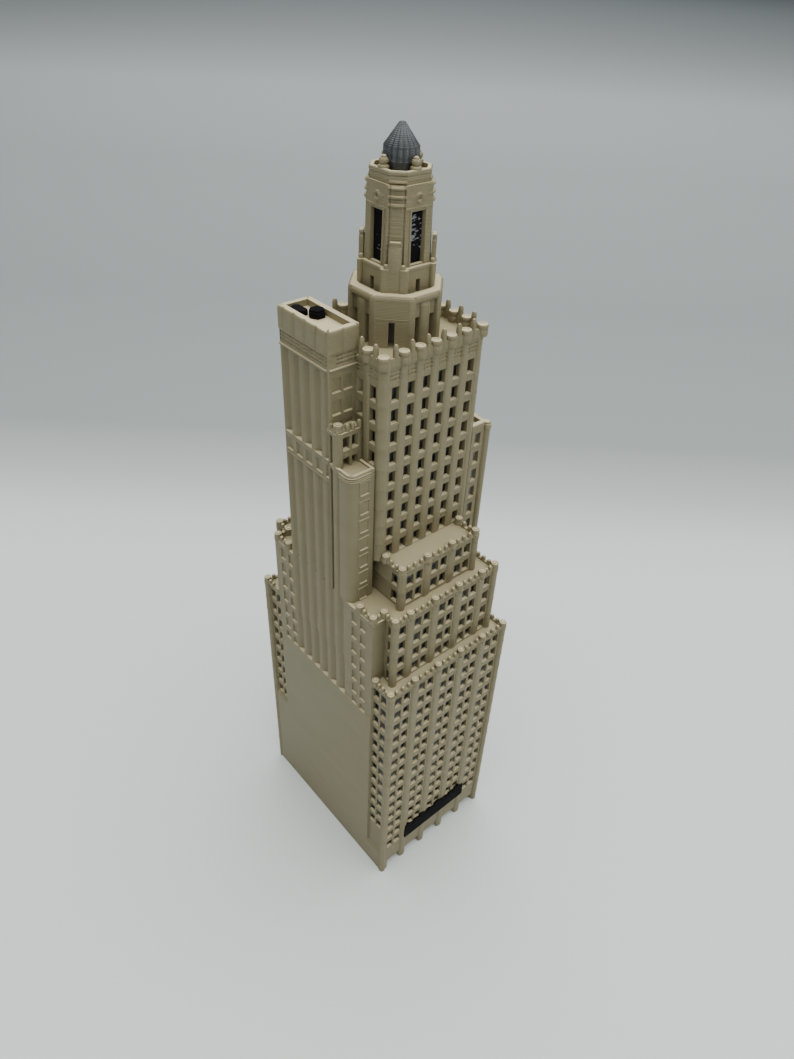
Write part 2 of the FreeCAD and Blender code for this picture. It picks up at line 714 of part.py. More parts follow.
# ---- Housings ----------------------------------------------------------------------------
# Where a parapet, urn or buttress runs into a neighbour, the neighbour is notched to its shape.
housings = [("tier_two_shell", "base_parapet"), ("east_shoulder_shell", "tier_two_parapet"),
            ("east_shoulder_core", "tier_two_parapet"), ("tower_parapet", "service_tower"),
            ("tower_shell", "tier_three_parapet_south"), ("tower_shell", "tier_three_parapet_north")]
housings += [("lantern_body", "lantern_urn_" + name) for name in sides]
housings += [("crown_upper_drum", "lantern_buttress_" + name) for name in corners]
for housed, guest in housings:
    pieces[housed] = pieces[housed].cut(pieces[guest])

# ---- Write every piece -------------------------------------------------------------------
for name, shape in pieces.items():
    solids = shape.Solids
    print(name, "solids", len(solids), "valid", shape.isValid(), "volume", round(shape.Volume, 2))
    (solids[0] if len(solids) == 1 else shape).exportStep("parts/" + name + ".step")
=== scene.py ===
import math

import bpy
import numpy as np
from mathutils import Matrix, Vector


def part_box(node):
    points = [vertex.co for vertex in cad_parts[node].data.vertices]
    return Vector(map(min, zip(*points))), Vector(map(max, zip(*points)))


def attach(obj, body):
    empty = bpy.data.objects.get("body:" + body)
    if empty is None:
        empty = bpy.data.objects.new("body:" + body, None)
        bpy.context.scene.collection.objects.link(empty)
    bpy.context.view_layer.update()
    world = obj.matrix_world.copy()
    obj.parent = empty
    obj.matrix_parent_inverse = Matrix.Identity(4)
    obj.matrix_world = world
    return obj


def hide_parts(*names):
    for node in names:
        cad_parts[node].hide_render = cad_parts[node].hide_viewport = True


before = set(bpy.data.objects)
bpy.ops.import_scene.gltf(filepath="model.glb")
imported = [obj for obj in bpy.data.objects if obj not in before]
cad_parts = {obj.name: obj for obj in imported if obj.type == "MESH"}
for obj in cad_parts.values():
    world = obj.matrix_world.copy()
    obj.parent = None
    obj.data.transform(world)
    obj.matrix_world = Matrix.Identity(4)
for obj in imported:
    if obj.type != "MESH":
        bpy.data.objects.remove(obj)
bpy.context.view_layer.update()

# %% [markdown]
# # A stepped office tower, printed in plastic
# The real object is a desk model of a 1930s office tower. Every block of the building is a thin
# printed skin in bone-coloured plastic with real window openings, and a silver-grey block slides
# inside it, so that each window looks onto silver. The frame gives the place and size of each of
# those blocks. This script works out the fine surface: rounded piers, window sills, parapets with
# knobs, fluted walls and the crown. All lengths here are in millimetres until a mesh is made, and
# t is a distance along a wall from its start.

MM = 0.001


def span(node):
    """Lowest and highest corner of one frame node, in millimetres."""
    low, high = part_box(node)
    return np.array(low) / MM, np.array(high) / MM


# %% [markdown]
# # Three plastics
# The parts are printed layer by layer, so all three plastics share one fine horizontal banding.
# It could be cut into the meshes, but the bands are thinner than a hair, so a bump made from
# the height coordinate is lighter and just as true. The bone plastic also carries a slow drift
# of tone. Its upright faces carry painted shade: their colour is darker than on flat tops.

# %% Layer banding shared by every finish
LAYER = 0.22 * MM


def new_finish(name, colour, roughness):
    """Material with its shader, its object coordinates and a small kit for joining nodes."""
    material = bpy.data.materials.new(name)
    material.use_nodes = True
    tree = material.node_tree
    shader = tree.nodes["Principled BSDF"]
    shader.inputs["Base Color"].default_value = (*colour, 1)
    shader.inputs["Roughness"].default_value = roughness
    place = tree.nodes.new("ShaderNodeTexCoord")
    return material, tree, shader, place.outputs["Object"]


def math_node(tree, operation, first, second):
    """One arithmetic node; either input is a number or another node's output."""
    node = tree.nodes.new("ShaderNodeMath")
    node.operation = operation
    for socket, value in zip(node.inputs, (first, second)):
        if isinstance(value, (int, float)):
            socket.default_value = value
        else:
            tree.links.new(value, socket)
    return node.outputs[0]


def noise(tree, place, scale, stretch, detail):
    """Cloudy pattern. stretch multiplies the x, y and z coordinates before it is read."""
    mapping = tree.nodes.new("ShaderNodeMapping")
    mapping.inputs["Scale"].default_value = stretch
    tree.links.new(place, mapping.inputs["Vector"])
    cloud = tree.nodes.new("ShaderNodeTexNoise")
    cloud.inputs["Scale"].default_value = scale
    cloud.inputs["Detail"].default_value = detail
    tree.links.new(mapping.outputs[0], cloud.inputs["Vector"])
    return cloud.outputs["Fac"]


def layer_wave(tree, place):
    """Printed bands: the sine of height, one turn for every layer, nudged by a faint cloud."""
    parts = tree.nodes.new("ShaderNodeSeparateXYZ")
    tree.links.new(place, parts.inputs[0])
    turns = math_node(tree, "MULTIPLY", parts.outputs["Z"], 2 * math.pi / LAYER)
    drift = math_node(tree, "MULTIPLY", noise(tree, place, 90, (1, 1, 1), 2), 1.2)
    return math_node(tree, "SINE", math_node(tree, "ADD", turns, drift), 0)


def bump(tree, shader, height, strength, distance):
    """Tilts the surface normal by the slope of a height pattern."""
    node = tree.nodes.new("ShaderNodeBump")
    node.inputs["Strength"].default_value = strength
    node.inputs["Distance"].default_value = distance
    tree.links.new(height, node.inputs["Height"])
    tree.links.new(node.outputs[0], shader.inputs["Normal"])


def tint(tree, shader, pattern, stops):
    """Colour read from a pattern through a ramp of (position, colour) stops."""
    ramp = tree.nodes.new("ShaderNodeValToRGB")
    elements = ramp.color_ramp.elements
    elements[0].position, elements[0].color = stops[0][0], (*stops[0][1], 1)
    elements[1].position, elements[1].color = stops[-1][0], (*stops[-1][1], 1)
    for position, colour in stops[1:-1]:
        elements.new(position).color = (*colour, 1)
    tree.links.new(pattern, ramp.inputs[0])
    tree.links.new(ramp.outputs[0], shader.inputs["Base Color"])


# %% Bone, silver and black
# Painted shade: upright faces take this darker tint and flat tops keep full colour; a face attribute gives
# each face its share of painted light.
PAINTED_LIGHT_ATTRIBUTE = "painted_light_share"
PAINTED_SIDE_SHADE = (0.38, 0.375, 0.34)


def paint_side_shade(tree, shader):
    """Painted shade: darkens the colour of upright faces, while flat tops keep their full colour."""
    top = tree.nodes.new("ShaderNodeAttribute")
    top.attribute_name = PAINTED_LIGHT_ATTRIBUTE
    blend = tree.nodes.new("ShaderNodeMix")
    blend.data_type = "RGBA"
    tree.links.new(top.outputs["Fac"], blend.inputs["Factor"])
    blend.inputs["A"].default_value = (*PAINTED_SIDE_SHADE, 1)
    blend.inputs["B"].default_value = (1, 1, 1, 1)
    product = tree.nodes.new("ShaderNodeMix")
    product.data_type = "RGBA"
    product.blend_type = "MULTIPLY"
    product.inputs["Factor"].default_value = 1.0
    tree.links.new(shader.inputs["Base Color"].links[0].from_socket, product.inputs["A"])
    tree.links.new(blend.outputs["Result"], product.inputs["B"])
    tree.links.new(product.outputs["Result"], shader.inputs["Base Color"])


def bone_plastic():
    """Bone: banding plus a drifting warm tone, painted shade on upright faces, matt with a soft low sheen.
    """
    material, tree, shader, place = new_finish("bone_print", (0.55, 0.48, 0.35), 0.5)
    wave = layer_wave(tree, place)
    cloud = noise(tree, place, 60, (1, 1, 6), 4)
    grain = math_node(tree, "MULTIPLY", wave, 0.07)
    tint(tree, shader, math_node(tree, "ADD", cloud, grain),
         [(0.3, (0.575, 0.51, 0.315)), (0.5, (0.595, 0.53, 0.335)), (0.7, (0.62, 0.555, 0.355))])
    paint_side_shade(tree, shader)
    shader.inputs["Specular IOR Level"].default_value = 0.4
    bump(tree, shader, wave, 0.6, 0.03 * MM)
    return material


def silver_plastic(name, dark, light):
    """Silver silk: part metallic grey whose bands catch the light."""
    material, tree, shader, place = new_finish(name, dark, 0.4)
    wave = layer_wave(tree, place)
    cloud = noise(tree, place, 160, (1, 1, 8), 3)
    tint(tree, shader, math_node(tree, "ADD", cloud, math_node(tree, "MULTIPLY", wave, 0.08)),
         [(0.3, dark), (0.7, light)])
    shader.inputs["Metallic"].default_value = 0.3
    bump(tree, shader, wave, 0.35, 0.03 * MM)
    return material


def black_plastic():
    """Black: nearly no colour, its banding shown only by gloss."""
    material, tree, shader, place = new_finish("black_print", (0.004, 0.004, 0.005), 0.85)
    wave = layer_wave(tree, place)
    cloud = noise(tree, place, 300, (1, 1, 4), 3)
    tint(tree, shader, cloud, [(0.3, (0.002, 0.002, 0.003)), (0.7, (0.005, 0.005, 0.006))])
    shader.inputs["Specular IOR Level"].default_value = 0.12
    bump(tree, shader, wave, 0.5, 0.03 * MM)
    return material


def pane_plastic():
    """Black lantern pane with stray silver strings left by the print."""
    material, tree, shader, place = new_finish("pane_print", (0.004, 0.004, 0.005), 0.7)
    strings = noise(tree, place, 1500, (1, 1, 2.2), 1)
    patches = noise(tree, place, 260, (1, 1, 0.6), 1)
    mixed = math_node(tree, "MULTIPLY", strings, math_node(tree, "MULTIPLY", patches, 2.0))
    tint(tree, shader, mixed, [(0.63, (0.002, 0.002, 0.003)), (0.69, (0.20, 0.21, 0.24))])
    shader.inputs["Specular IOR Level"].default_value = 0.12
    bump(tree, shader, strings, 0.5, 0.05 * MM)
    return material


finishes = {
    "stone": bone_plastic(),
    "silver": silver_plastic("silver_print", (0.14, 0.155, 0.18), (0.24, 0.26, 0.29)),
    # The cap is the same silver plastic as the cores, given a darker copy of its colours: painted shade.
    "cap": silver_plastic("cap_print_painted_shade", (0.06, 0.066, 0.073), (0.115, 0.124, 0.135)),
    "black": black_plastic(),
    "pane": pane_plastic(),
}
print("finishes:", ", ".join(material.name for material in finishes.values()))

# %% [markdown]
# # From numbers to pieces
# Each piece below is first worked out as arrays: points, and faces listed by their corners. One
# helper turns them into a mesh. Shading is smooth with hard lines kept where two faces meet at
# more than a set angle, which leaves printed edges crisp and round piers round. Each face also
# stores how far it looks up, from 0 to 1, which sets how much painted shade its colour gets.
# Broad decks store less, so they get painted shade and stay darker than the small tops around
# them, as if the blocks above shaded them.

# %% Make one piece
CREASE = math.radians(38)
tally = {}
# Painted shade on decks: flat faces larger than this area count as only partly lit; the service tower roof
# stays fully lit.
DECK_AREA = 3.0 * MM * MM
PAINTED_DECK_LIGHT = 0.35
PAINTED_LIGHT_BY_PIECE = {"service_tower_walls": 1.0}
UPWARD_POWER = 8


def add_piece(name, parts, finish, *stands_for):
    """Mesh object from (points, [face arrays]) parts, standing for frame nodes."""
    points = np.concatenate([place for place, _ in parts])
    shifts = np.cumsum([0] + [len(place) for place, _ in parts[:-1]])
    polygons = [face + shift for (_, faces), shift in zip(parts, shifts) for face in faces]
    sizes = np.concatenate([np.full(len(face), face.shape[1]) for face in polygons])
    corners = np.concatenate([face.ravel() for face in polygons])
    mesh = bpy.data.meshes.new(name)
    mesh.vertices.add(len(points))
    mesh.vertices.foreach_set("co", (points * MM).ravel().astype(np.float32))
    mesh.loops.add(len(corners))
    mesh.loops.foreach_set("vertex_index", corners.astype(np.int32))
    mesh.polygons.add(len(sizes))
    mesh.polygons.foreach_set("loop_start", (np.cumsum(sizes) - sizes).astype(np.int32))
    mesh.update(calc_edges=True)
    mesh.validate()
    mesh.shade_smooth()
    mesh.set_sharp_from_angle(angle=CREASE)
    normals = np.zeros(3 * len(mesh.polygons), np.float32)
    mesh.polygons.foreach_get("normal", normals)
    # Painted light share of each face: upward faces near 1, upright faces 0, broad decks lowered as painted
    # shade.
    level = mesh.attributes.new(PAINTED_LIGHT_ATTRIBUTE, "FLOAT", "FACE")
    area = np.zeros(len(mesh.polygons), np.float32)
    mesh.polygons.foreach_get("area", area)
    shade = np.where(area > DECK_AREA, PAINTED_LIGHT_BY_PIECE.get(name, PAINTED_DECK_LIGHT), 1.0)
    level.data.foreach_set("value", shade * np.clip(normals[2::3], 0, 1) ** UPWARD_POWER)
    mesh.materials.append(finishes[finish])
    piece = bpy.data.objects.new(name, mesh)
    bpy.context.scene.collection.objects.link(piece)
    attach(piece, "root")
    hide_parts(*stands_for)
    tally[name] = int(np.sum(sizes - 2))
    print(name, "triangles", tally[name])
    return piece


# %% [markdown]
# # Rings, turned knobs and rails
# Three small shapes cover most of the trim. A stack joins closed rings from bottom to top and
# caps both ends. A turned shape is a stack whose rings are circles. A rail carries one cross
# section along a route in plan, mitred at the corners.

# %% Stacks, turned shapes and slabs
def stack(rings):
    """Skin over closed rings (levels, corners, 3), anticlockwise seen from above, ends capped."""
    levels, count = rings.shape[:2]
    here = np.arange(levels * count).reshape(levels, count)
    ahead = np.roll(here, -1, axis=1)
    sides = np.stack([here[:-1], ahead[:-1], ahead[1:], here[1:]], -1).reshape(-1, 4)
    return rings.reshape(-1, 3), [sides, here[:1, ::-1], here[-1:]]


def turned(profile, x, y, z, sides, phase=0.0):
    """Circle of each profile radius set at each profile height: x + r cos a, y + r sin a."""
    radius, height = np.array(profile, float).T
    angle = phase + np.arange(sides) * 2 * math.pi / sides
    ring = np.stack([np.cos(angle), np.sin(angle), np.zeros(sides)], -1)
    rings = ring[None] * radius[:, None, None]
    rings[..., 2] = height[:, None]
    return stack(rings + np.array([x, y, z]))


def scaled_turn(profile, wide, tall, x, y, z, sides):
    """Turned shape whose profile is first made wide times wider and tall times taller."""
    return turned([(wide * radius, tall * height) for radius, height in profile], x, y, z, sides)


def mitres(plan, closed=True):
    """Outward corner directions of an anticlockwise plan: sum of both normals over 1 + cosine."""
    ahead = np.roll(plan, -1, axis=0) - plan
    along = ahead / np.linalg.norm(ahead, axis=1, keepdims=True)
    out = np.stack([along[:, 1], -along[:, 0]], -1)
    before = np.roll(out, 1, axis=0)
    if not closed:
        before[0], out[-1] = out[0], before[-1]
    return (before + out) / (1 + np.sum(before * out, axis=1))[:, None]


def slab(plan, low, high, edge=0.12):
    """Flat plate over a plan, its top edge eased in three steps."""
    plan = np.array(plan, float)
    corner = mitres(plan)
    steps = [(0, low), (0, high - edge), (-0.3 * edge, high - 0.3 * edge), (-edge, high)]
    rings = [np.column_stack([plan + corner * grow, np.full(len(plan), z)]) for grow, z in steps]
    return stack(np.array(rings))


def deck(plan, inset, low, high):
    """Roof plate inside a wall, moved in from the wall's plan by the inset."""
    plan = np.array(plan, float)
    return slab(plan - inset * mitres(plan), low, high, 0.02)


def rail(route, section):
    """Cross section (out, up) swept along an open plan route with mitred corners."""
    route = np.array(route, float)
    corner = mitres(route, False)
    out, up = np.array(section, float).T
    flat = route[:, None] + corner[:, None] * out[None, :, None]
    return stack(np.concatenate([flat, np.broadcast_to(up[None, :, None], flat.shape[:2] + (1,))], -1))


# %% [markdown]
# # The wall of a block
# Each block of the building is a wall that runs round a plan. Its outside is a height field:
# one number, the relief, for each place along the wall and each level, pushed outwards. Window
# openings are cells left out of that grid, lined with short reveals to a smooth inner skin. This
# keeps the whole block one closed surface, and a sill or pier is only a formula. Boolean cuts
# would need hundreds of cutters and leave ragged faces.

# %% Ring wall from a relief formula
COLUMN_STEPS = 12
COLUMN_TURN = 1.5 * math.pi
LEAST_STEP = 0.02
LEAST_RISE = 0.015
CLOSING_RUN = 0.25
CLOSING_SHARE = 0.45


def within(lines, low, high):
    """The heights that lie between low and high."""
    return [z for z in lines if low <= z <= high]


def ring_faces(outside, inside, opening):
    """Points and faces of a ring between two skins, with the opening cells left out and lined."""
    total = outside.shape[0] * outside.shape[1]
    grid = np.arange(total).reshape(outside.shape[:2])
    right = np.roll(grid, -1, axis=1)
    a, b, c, d = grid[:-1], right[:-1], right[1:], grid[1:]
    wall = ~opening
    under, over = np.roll(wall, 1, axis=0), np.roll(wall, -1, axis=0)
    under[0], over[-1] = False, False
    left_end = opening & np.roll(wall, 1, axis=1)
    right_end = opening & np.roll(wall, -1, axis=1)
    sill, head = opening & under, opening & over
    faces = [
        np.stack([a, b, c, d], -1)[wall],
        np.stack([d, c, b, a], -1)[wall] + total,
        np.stack([a, a + total, d + total, d], -1)[left_end],
        np.stack([b, c, c + total, b + total], -1)[right_end],
        np.stack([a, b, b + total, a + total], -1)[sill],
        np.stack([d, d + total, c + total, c], -1)[head],
        np.stack([a[:1], a[:1] + total, b[:1] + total, b[:1]], -1)[wall[:1]],
        np.stack([d[-1:], c[-1:], c[-1:] + total, d[-1:] + total], -1)[wall[-1:]],
    ]
    return np.concatenate([outside.reshape(-1, 3), inside.reshape(-1, 3)]), faces


def wall_ring(plan, sides, levels, thick, columns=None, rings=None):
    """Closed wall round an anticlockwise plan, with openings.

    plan: corner points. sides: one dict for each side with samples, relief(t, z) and holes
    (t0, t1, z0, z1), t measured from the side's start. columns: radius of the round column on
    each corner, 0 for a sharp corner, or minus the radius of a rounded one. rings(z): extra
    radius of those columns.
    """
    plan = np.array(plan, float)
    count = len(plan)
    given = np.array(columns if columns is not None else [0] * count, float)
    radii = np.abs(given)
    ahead = np.roll(plan, -1, axis=0) - plan
    length = np.linalg.norm(ahead, axis=1)
    along = ahead / length[:, None]
    out = np.stack([along[:, 1], -along[:, 0]], -1)
    corner = mitres(plan)
    bend = np.arccos(np.clip(np.sum(np.roll(out, 1, axis=0) * out, axis=1), -1, 1))
    trims = np.where(given < 0, radii * np.tan(bend / 2), radii)
    spots, pushes, inners, owner, place = [], [], [], [], []

    def inner(side, t):
        """Inner skin point: same t, except near the ends, where it closes up to the mitre."""
        following = (side + 1) % count
        start = -thick * np.dot(corner[side], along[side])
        stop = length[side] - thick * np.dot(corner[following], along[side])
        ends = [min(max(trims[end], thick) + CLOSING_RUN, CLOSING_SHARE * length[side])
                for end in (side, following)]
        near, far = ends[0], length[side] - ends[1]
        shifted = np.interp(t, [0, near, far, length[side]], [start, near, far, stop])
        return plan[side] + along[side] * shifted[:, None] - out[side] * thick

    for side in range(count):
        following = (side + 1) % count
        low, high = trims[side], length[side] - trims[following]
        t = np.unique(np.round(np.clip(sides[side]["samples"] + [low, high], low, high), 4))
        t = t[np.concatenate([[True], np.diff(t) > LEAST_STEP])]
        t[-1] = high
        push = np.repeat(out[side][None], len(t), axis=0)
        if radii[side] == 0:
            push[0] = corner[side]
        if radii[following] == 0:
            t, push = t[:-1], push[:-1]
        spots.append(plan[side] + along[side] * t[:, None])
        pushes.append(push)
        inners.append(inner(side, t))
        owner.append(np.full(len(t), side))
        place.append(t)
        if radii[following] > 0:
            turn = np.arange(1, COLUMN_STEPS) / COLUMN_STEPS
            round_centre = plan[following]
            angle = turn[:, None] * COLUMN_TURN
            ray = np.cos(angle) * -along[side] + np.sin(angle) * out[side]
            if given[following] < 0:
                angle = turn[:, None] * bend[following]
                ray = np.cos(angle) * out[side] + np.sin(angle) * along[side]
                round_centre = plan[following] - radii[following] * corner[following]
            spots.append(round_centre + radii[following] * ray)
            pushes.append(ray)
            first = inner(side, length[side] - trims[following] * (1 - 2 * turn))
            second = inner(following, trims[following] * (2 * turn - 1))
            inners.append(np.where(turn[:, None] < 0.5, first, second))
            owner.append(np.full(len(turn), -1))
            place.append(np.zeros(len(turn)))
    spots, pushes, inners = map(np.concatenate, (spots, pushes, inners))
    owner, place = np.concatenate(owner), np.concatenate(place)
    levels = np.unique(np.round(levels, 4))
    levels = levels[np.concatenate([[True], np.diff(levels) > LEAST_RISE])]
    relief = np.zeros((len(levels), len(owner)))
    opening = np.zeros((len(levels) - 1, len(owner)), bool)
    middle = (levels[1:] + levels[:-1])[:, None] / 2
    after = np.roll(place, -1)
    for side in range(count):
        mine = owner == side
        relief[:, mine] = sides[side]["relief"](place[mine][None], levels[:, None])
        last = np.where(np.roll(owner, -1)[mine] == side, after[mine], length[side])
        centre = (place[mine] + last) / 2
        for t0, t1, z0, z1 in sides[side]["holes"]:
            opening[:, mine] |= (centre > t0) & (centre < t1) & (middle > z0) & (middle < z1)
    if rings is not None:
        relief[:, owner == -1] = rings(levels[:, None])
    skin = spots[None] + pushes[None] * relief[..., None]
    height = np.broadcast_to(levels[:, None, None], skin.shape[:2] + (1,))
    outside = np.concatenate([skin, height], -1)
    inside = np.concatenate([np.broadcast_to(inners[None], skin.shape), height], -1)
    return ring_faces(outside, inside, opening)


# %% [markdown]
# # The office front as a formula
# Between two rounded piers sit two windows, split by a thin mullion. Under each window runs a
# rounded sill lip and a plain spandrel, and over the top row a hood line arches from pier to
# pier. A pier is half an ellipse across the wall, and a sill is a short ramp up and down the
# height, so both are plain arithmetic on the grid.

# %% Pieces of relief
STOREY = 3.66
WINDOW_HEIGHT = 2.36
PIER_HALF = 0.8
PIER_PROUD = 0.48
ROUND_STEPS = [-1.0, -0.88, -0.5, 0.5, 0.88, 1.0]
LIP = [(-0.44, 0.0), (-0.34, 1.0), (-0.12, 1.0), (0.0, 0.2)]
MULLION_GAP = 2.6
MULLION_HALF, MULLION_PROUD = 0.28, 0.1
HOOD_DROP, HOOD_ARCH, HOOD_HALF, HOOD_PROUD = 1.0, 0.28, 0.08, 0.16
MOULDING_PROUD = 0.22
COLLAR_EXTRA = 0.25
NO_CREST = 9


def flat_relief(t, z):
    """Relief of a plain wall: zero over the whole grid."""
    return np.zeros(np.broadcast(t, z).shape)


def highest(*reliefs):
    """The largest of several reliefs at each place."""
    result = reliefs[0]
    for relief in reliefs[1:]:
        result = np.maximum(result, relief)
    return result


def bell(place, centre, half):
    """Smooth bump of height 1, about twice the half width across."""
    return np.exp(-((place - centre) / half) ** 2)


def eased(z, top, ease):
    """1 up to the ease below the top, then a quarter ellipse down to 0 at the top."""
    return np.sqrt(1 - np.clip((z - (top - ease)) / ease, 0, 1) ** 2)


def half_round(t, centre, half, proud, power=2):
    """Rounded rib: proud times the root of 1 - (distance / half) to a power; 2 is an ellipse."""
    return proud * np.sqrt(np.clip(1 - np.abs((t - centre) / half) ** power, 0, 1))


def plateau(t, start, stop, ease=0.15):
    """1 between start and stop, falling in a straight line to 0 over the ease outside."""
    return np.clip(np.minimum((t - start) / ease + 1, (stop - t) / ease + 1), 0, 1)


def sill_profile(z, levels):
    """Sum over storeys of the lip profile, read at height z above each window's bottom edge."""
    if not len(levels):
        return np.zeros_like(z)
    rise, height = np.array(LIP).T
    bottoms = np.sort(levels) - WINDOW_HEIGHT / 2
    knots = (bottoms[:, None] + rise[None]).ravel()
    return np.interp(z, knots, np.tile(height, len(bottoms)), left=0, right=0)


def storey_levels(levels):
    """Heights where the grid needs a line: both edges of each window and each lip knot."""
    lines = []
    for centre in levels:
        lines += [centre + WINDOW_HEIGHT / 2] + [centre - WINDOW_HEIGHT / 2 + rise for rise, _ in LIP]
    return lines


def crest_levels(top):
    """Closely spaced lines for the hoods and mouldings under a parapet."""
    return list(top - np.arange(9) * 0.13)


def mouldings(z, top):
    """Two thin string lines just under the parapet."""
    upper = plateau(z, top - 0.2, top, 0.1)
    lower = plateau(z, top - 0.6, top - 0.5, 0.1)
    return np.maximum(upper, 0.8 * lower)


def openings(centres, levels, width, height=WINDOW_HEIGHT):
    """An opening (t0, t1, z0, z1) at every centre on every level."""
    return [(t - width / 2, t + width / 2, z - height / 2, z + height / 2) for t in centres for z in levels]


def office_side(piers, windows, levels, top, width, lip=0.09, bow=0.03,
                half=PIER_HALF, power=2, skin=0.1):
    """Samples, relief and openings of one windowed side.

    Relief is the larger of the piers, the mullions and the sills. The sills bow outwards
    between piers, and the mouldings under the parapet swell over each pier like a collar.
    A top of NO_CREST above the wall leaves the hood and the mouldings out.
    """
    samples = [pier + half * step for pier in piers for step in ROUND_STEPS]
    samples += [pier + side * (PIER_HALF + COLLAR_EXTRA) for pier in piers for side in (-1, 1)]
    samples += [window + side * width / 2 for window in windows for side in (-1, 0, 1)]
    ordered = sorted(windows)
    mullions = [(a + b) / 2 for a, b in zip(ordered, ordered[1:]) if b - a < MULLION_GAP]
    samples += mullions

    def relief(t, z):
        arch = np.zeros_like(t)
        for window in windows:
            arch = np.maximum(arch, half_round(t, window, width / 2 + 0.5, 1.0))
        sills = sill_profile(z, levels) * (lip + bow * arch)
        open_zone = (z > min(levels, default=0) - 2) & (z < max(levels, default=0) + 1.3)
        result = flat_relief(t, z) + skin * (len(windows) > 0) + sills * (arch > 0)
        for mullion in mullions:
            slim = skin + half_round(t, mullion, MULLION_HALF, MULLION_PROUD)
            result = np.maximum(result, slim * open_zone)
        hood = HOOD_PROUD * bell(z, top - HOOD_DROP + HOOD_ARCH * arch, HOOD_HALF)
        string = mouldings(z, top)
        result = highest(result, hood * (len(windows) > 0), MOULDING_PROUD * string)
        for pier in piers:
            body = half_round(t, pier, half, PIER_PROUD, power)
            collar = half_round(t, pier, PIER_HALF + COLLAR_EXTRA, PIER_PROUD + 0.08)
            result = np.maximum(result, np.where(string > 0.4, collar, body))
        return result

    return {"samples": samples, "relief": relief, "holes": openings(windows, levels, width)}


def corner_posts(plan, corners, low, high, near=0.4, far=1.0):
    """Square posts inside the given corners, which close the view from one wall to the next."""
    plan = np.array(plan, float)
    inward = -mitres(plan)
    posts = []
    for index in corners:
        (x0, y0), (x1, y1) = np.sort([plan[index] + inward[index] * reach for reach in (near, far)], axis=0)
        posts.append(slab([(x0, y0), (x1, y0), (x1, y1), (x0, y1)], low, high, 0.02))
    return posts


def plain_side(samples=(), relief=None, holes=()):
    """A side without offices: flat unless a relief formula is given."""
    return {"samples": list(samples), "relief": relief or flat_relief, "holes": list(holes)}


def column_rings(levels, top):
    """Faint rings on a corner column: one at each sill and the two mouldings."""
    return lambda z: 0.05 * np.clip(sill_profile(z, levels), 0, 1) + 0.08 * mouldings(z, top)


def evenly(start, stop, count):
    """count equal steps from start to stop, both ends included."""
    return list(start + (stop - start) * np.arange(count + 1) / count)


def paired(marks, offset):
    """Two windows in every bay between neighbouring marks."""
    centres = [(a + b) / 2 for a, b in zip(marks, marks[1:])]
    return [centre + side * offset for centre in centres for side in (-1, 1)]


def box_plan(low, high, inset=0.0):
    """Anticlockwise corners of a frame box in plan, moved in by the inset."""
    west, south = low[0] + inset, low[1] + inset
    east, north = high[0] - inset, high[1] - inset
    return [(west, south), (east, south), (east, north), (west, north)]


print("a bay of one storey uses", len(ROUND_STEPS) + 9, "samples across and", len(LIP) + 1, "levels")

# %% [markdown]
# # Flutes on the blind west side
# The west side is almost all wall. A stretch of it is fluted up to the crown of the service
# tower: rounded ribs with narrow dark grooves. A cosine raised to a small power gives wide ribs
# and narrow grooves.

# %% Flute and niche formulas
FLUTE_PITCH = 2.68
FLUTE_DEPTH = 0.62
FLUTE_POWER = 1.7
FLUTE_STEP = 0.268
FLUTE_END = 0.9
SLIM_WINDOW = 1.3


def flute(y, first, last):
    """Groove depth at y: a cosine of the distance to the nearest groove line, sharpened."""
    phase = (y - first) / FLUTE_PITCH
    shape = (0.5 + 0.5 * np.cos(2 * math.pi * phase)) ** FLUTE_POWER
    return -FLUTE_DEPTH * shape * plateau(y, first - FLUTE_END, last + FLUTE_END, 0.4)


def blind_windows(t, z, centres, levels, depth=0.25, width=SLIM_WINDOW):
    """Shallow sunk panels with a small bright sill under each."""
    flat = flat_relief(t, z)
    across = highest(flat, *(plateau(t, centre - width / 2, centre + width / 2, 0.1) for centre in centres))
    up = highest(flat, *(plateau(z, level - 1.1, level + 1.1, 0.1) for level in levels))
    lip = highest(flat, *(plateau(z, level - 1.35, level - 1.2, 0.08) for level in levels))
    return 0.1 * lip * across - depth * up * across


def blind_samples(centres, width=SLIM_WINDOW):
    """Sample places for sunk panels: both edges and the end of each bevel."""
    reaches = [side * (width / 2 + extra) for side in (-1, 1) for extra in (0, 0.1)]
    return [centre + reach for centre in centres for reach in reaches]


def blind_levels(levels):
    """Grid heights for sunk panels and their sills."""
    rises = (-1.43, -1.33, -1.2, -1.1, 1.1, 1.2)
    return [level + rise for level in levels for rise in rises]


def dimples(t, z, centres, rows, wide, tall):
    """Rows of small round hollows, 1 at the middle of each."""
    spots = [bell(t, centre, wide) * bell(z, row, tall) for centre in centres for row in rows]
    return highest(flat_relief(t, z), *spots)


print("flutes every", FLUTE_PITCH, "mm")

# %% [markdown]
# # Parapets
# On the real model every parapet is a low wall carrying small round studs, with a bigger
# flat-topped knob over each pier. A stud is repeated hundreds of times, so it is a turned shape
# of only a few dozen faces. Modelling one and instancing it would save memory, but one joined
# surface exports more simply.

# %% Low wall, knobs and studs
KNOB_RADIUS = 0.79
STUD_RADIUS = 0.43
STUD_STEPS = ((4.2, 4), (2.6, 3), (0, 2))
WALL_SECTION = [(-0.36, -0.05), (-0.36, 0.22), (-0.28, 0.32), (0.28, 0.32), (0.36, 0.22), (0.36, -0.05)]
KNOB_PROFILE = [(1.0, -0.05), (1.0, 0.42), (0.9, 0.5), (0.9, 1.2), (0.8, 1.33), (0.62, 1.36), (0.56, 1.3),
                (0.44, 1.3), (0.38, 1.4), (0.1, 1.4)]
STUD_PROFILE = [(1.0, 0.1), (1.0, 0.7), (0.86, 0.98), (0.45, 1.12)]


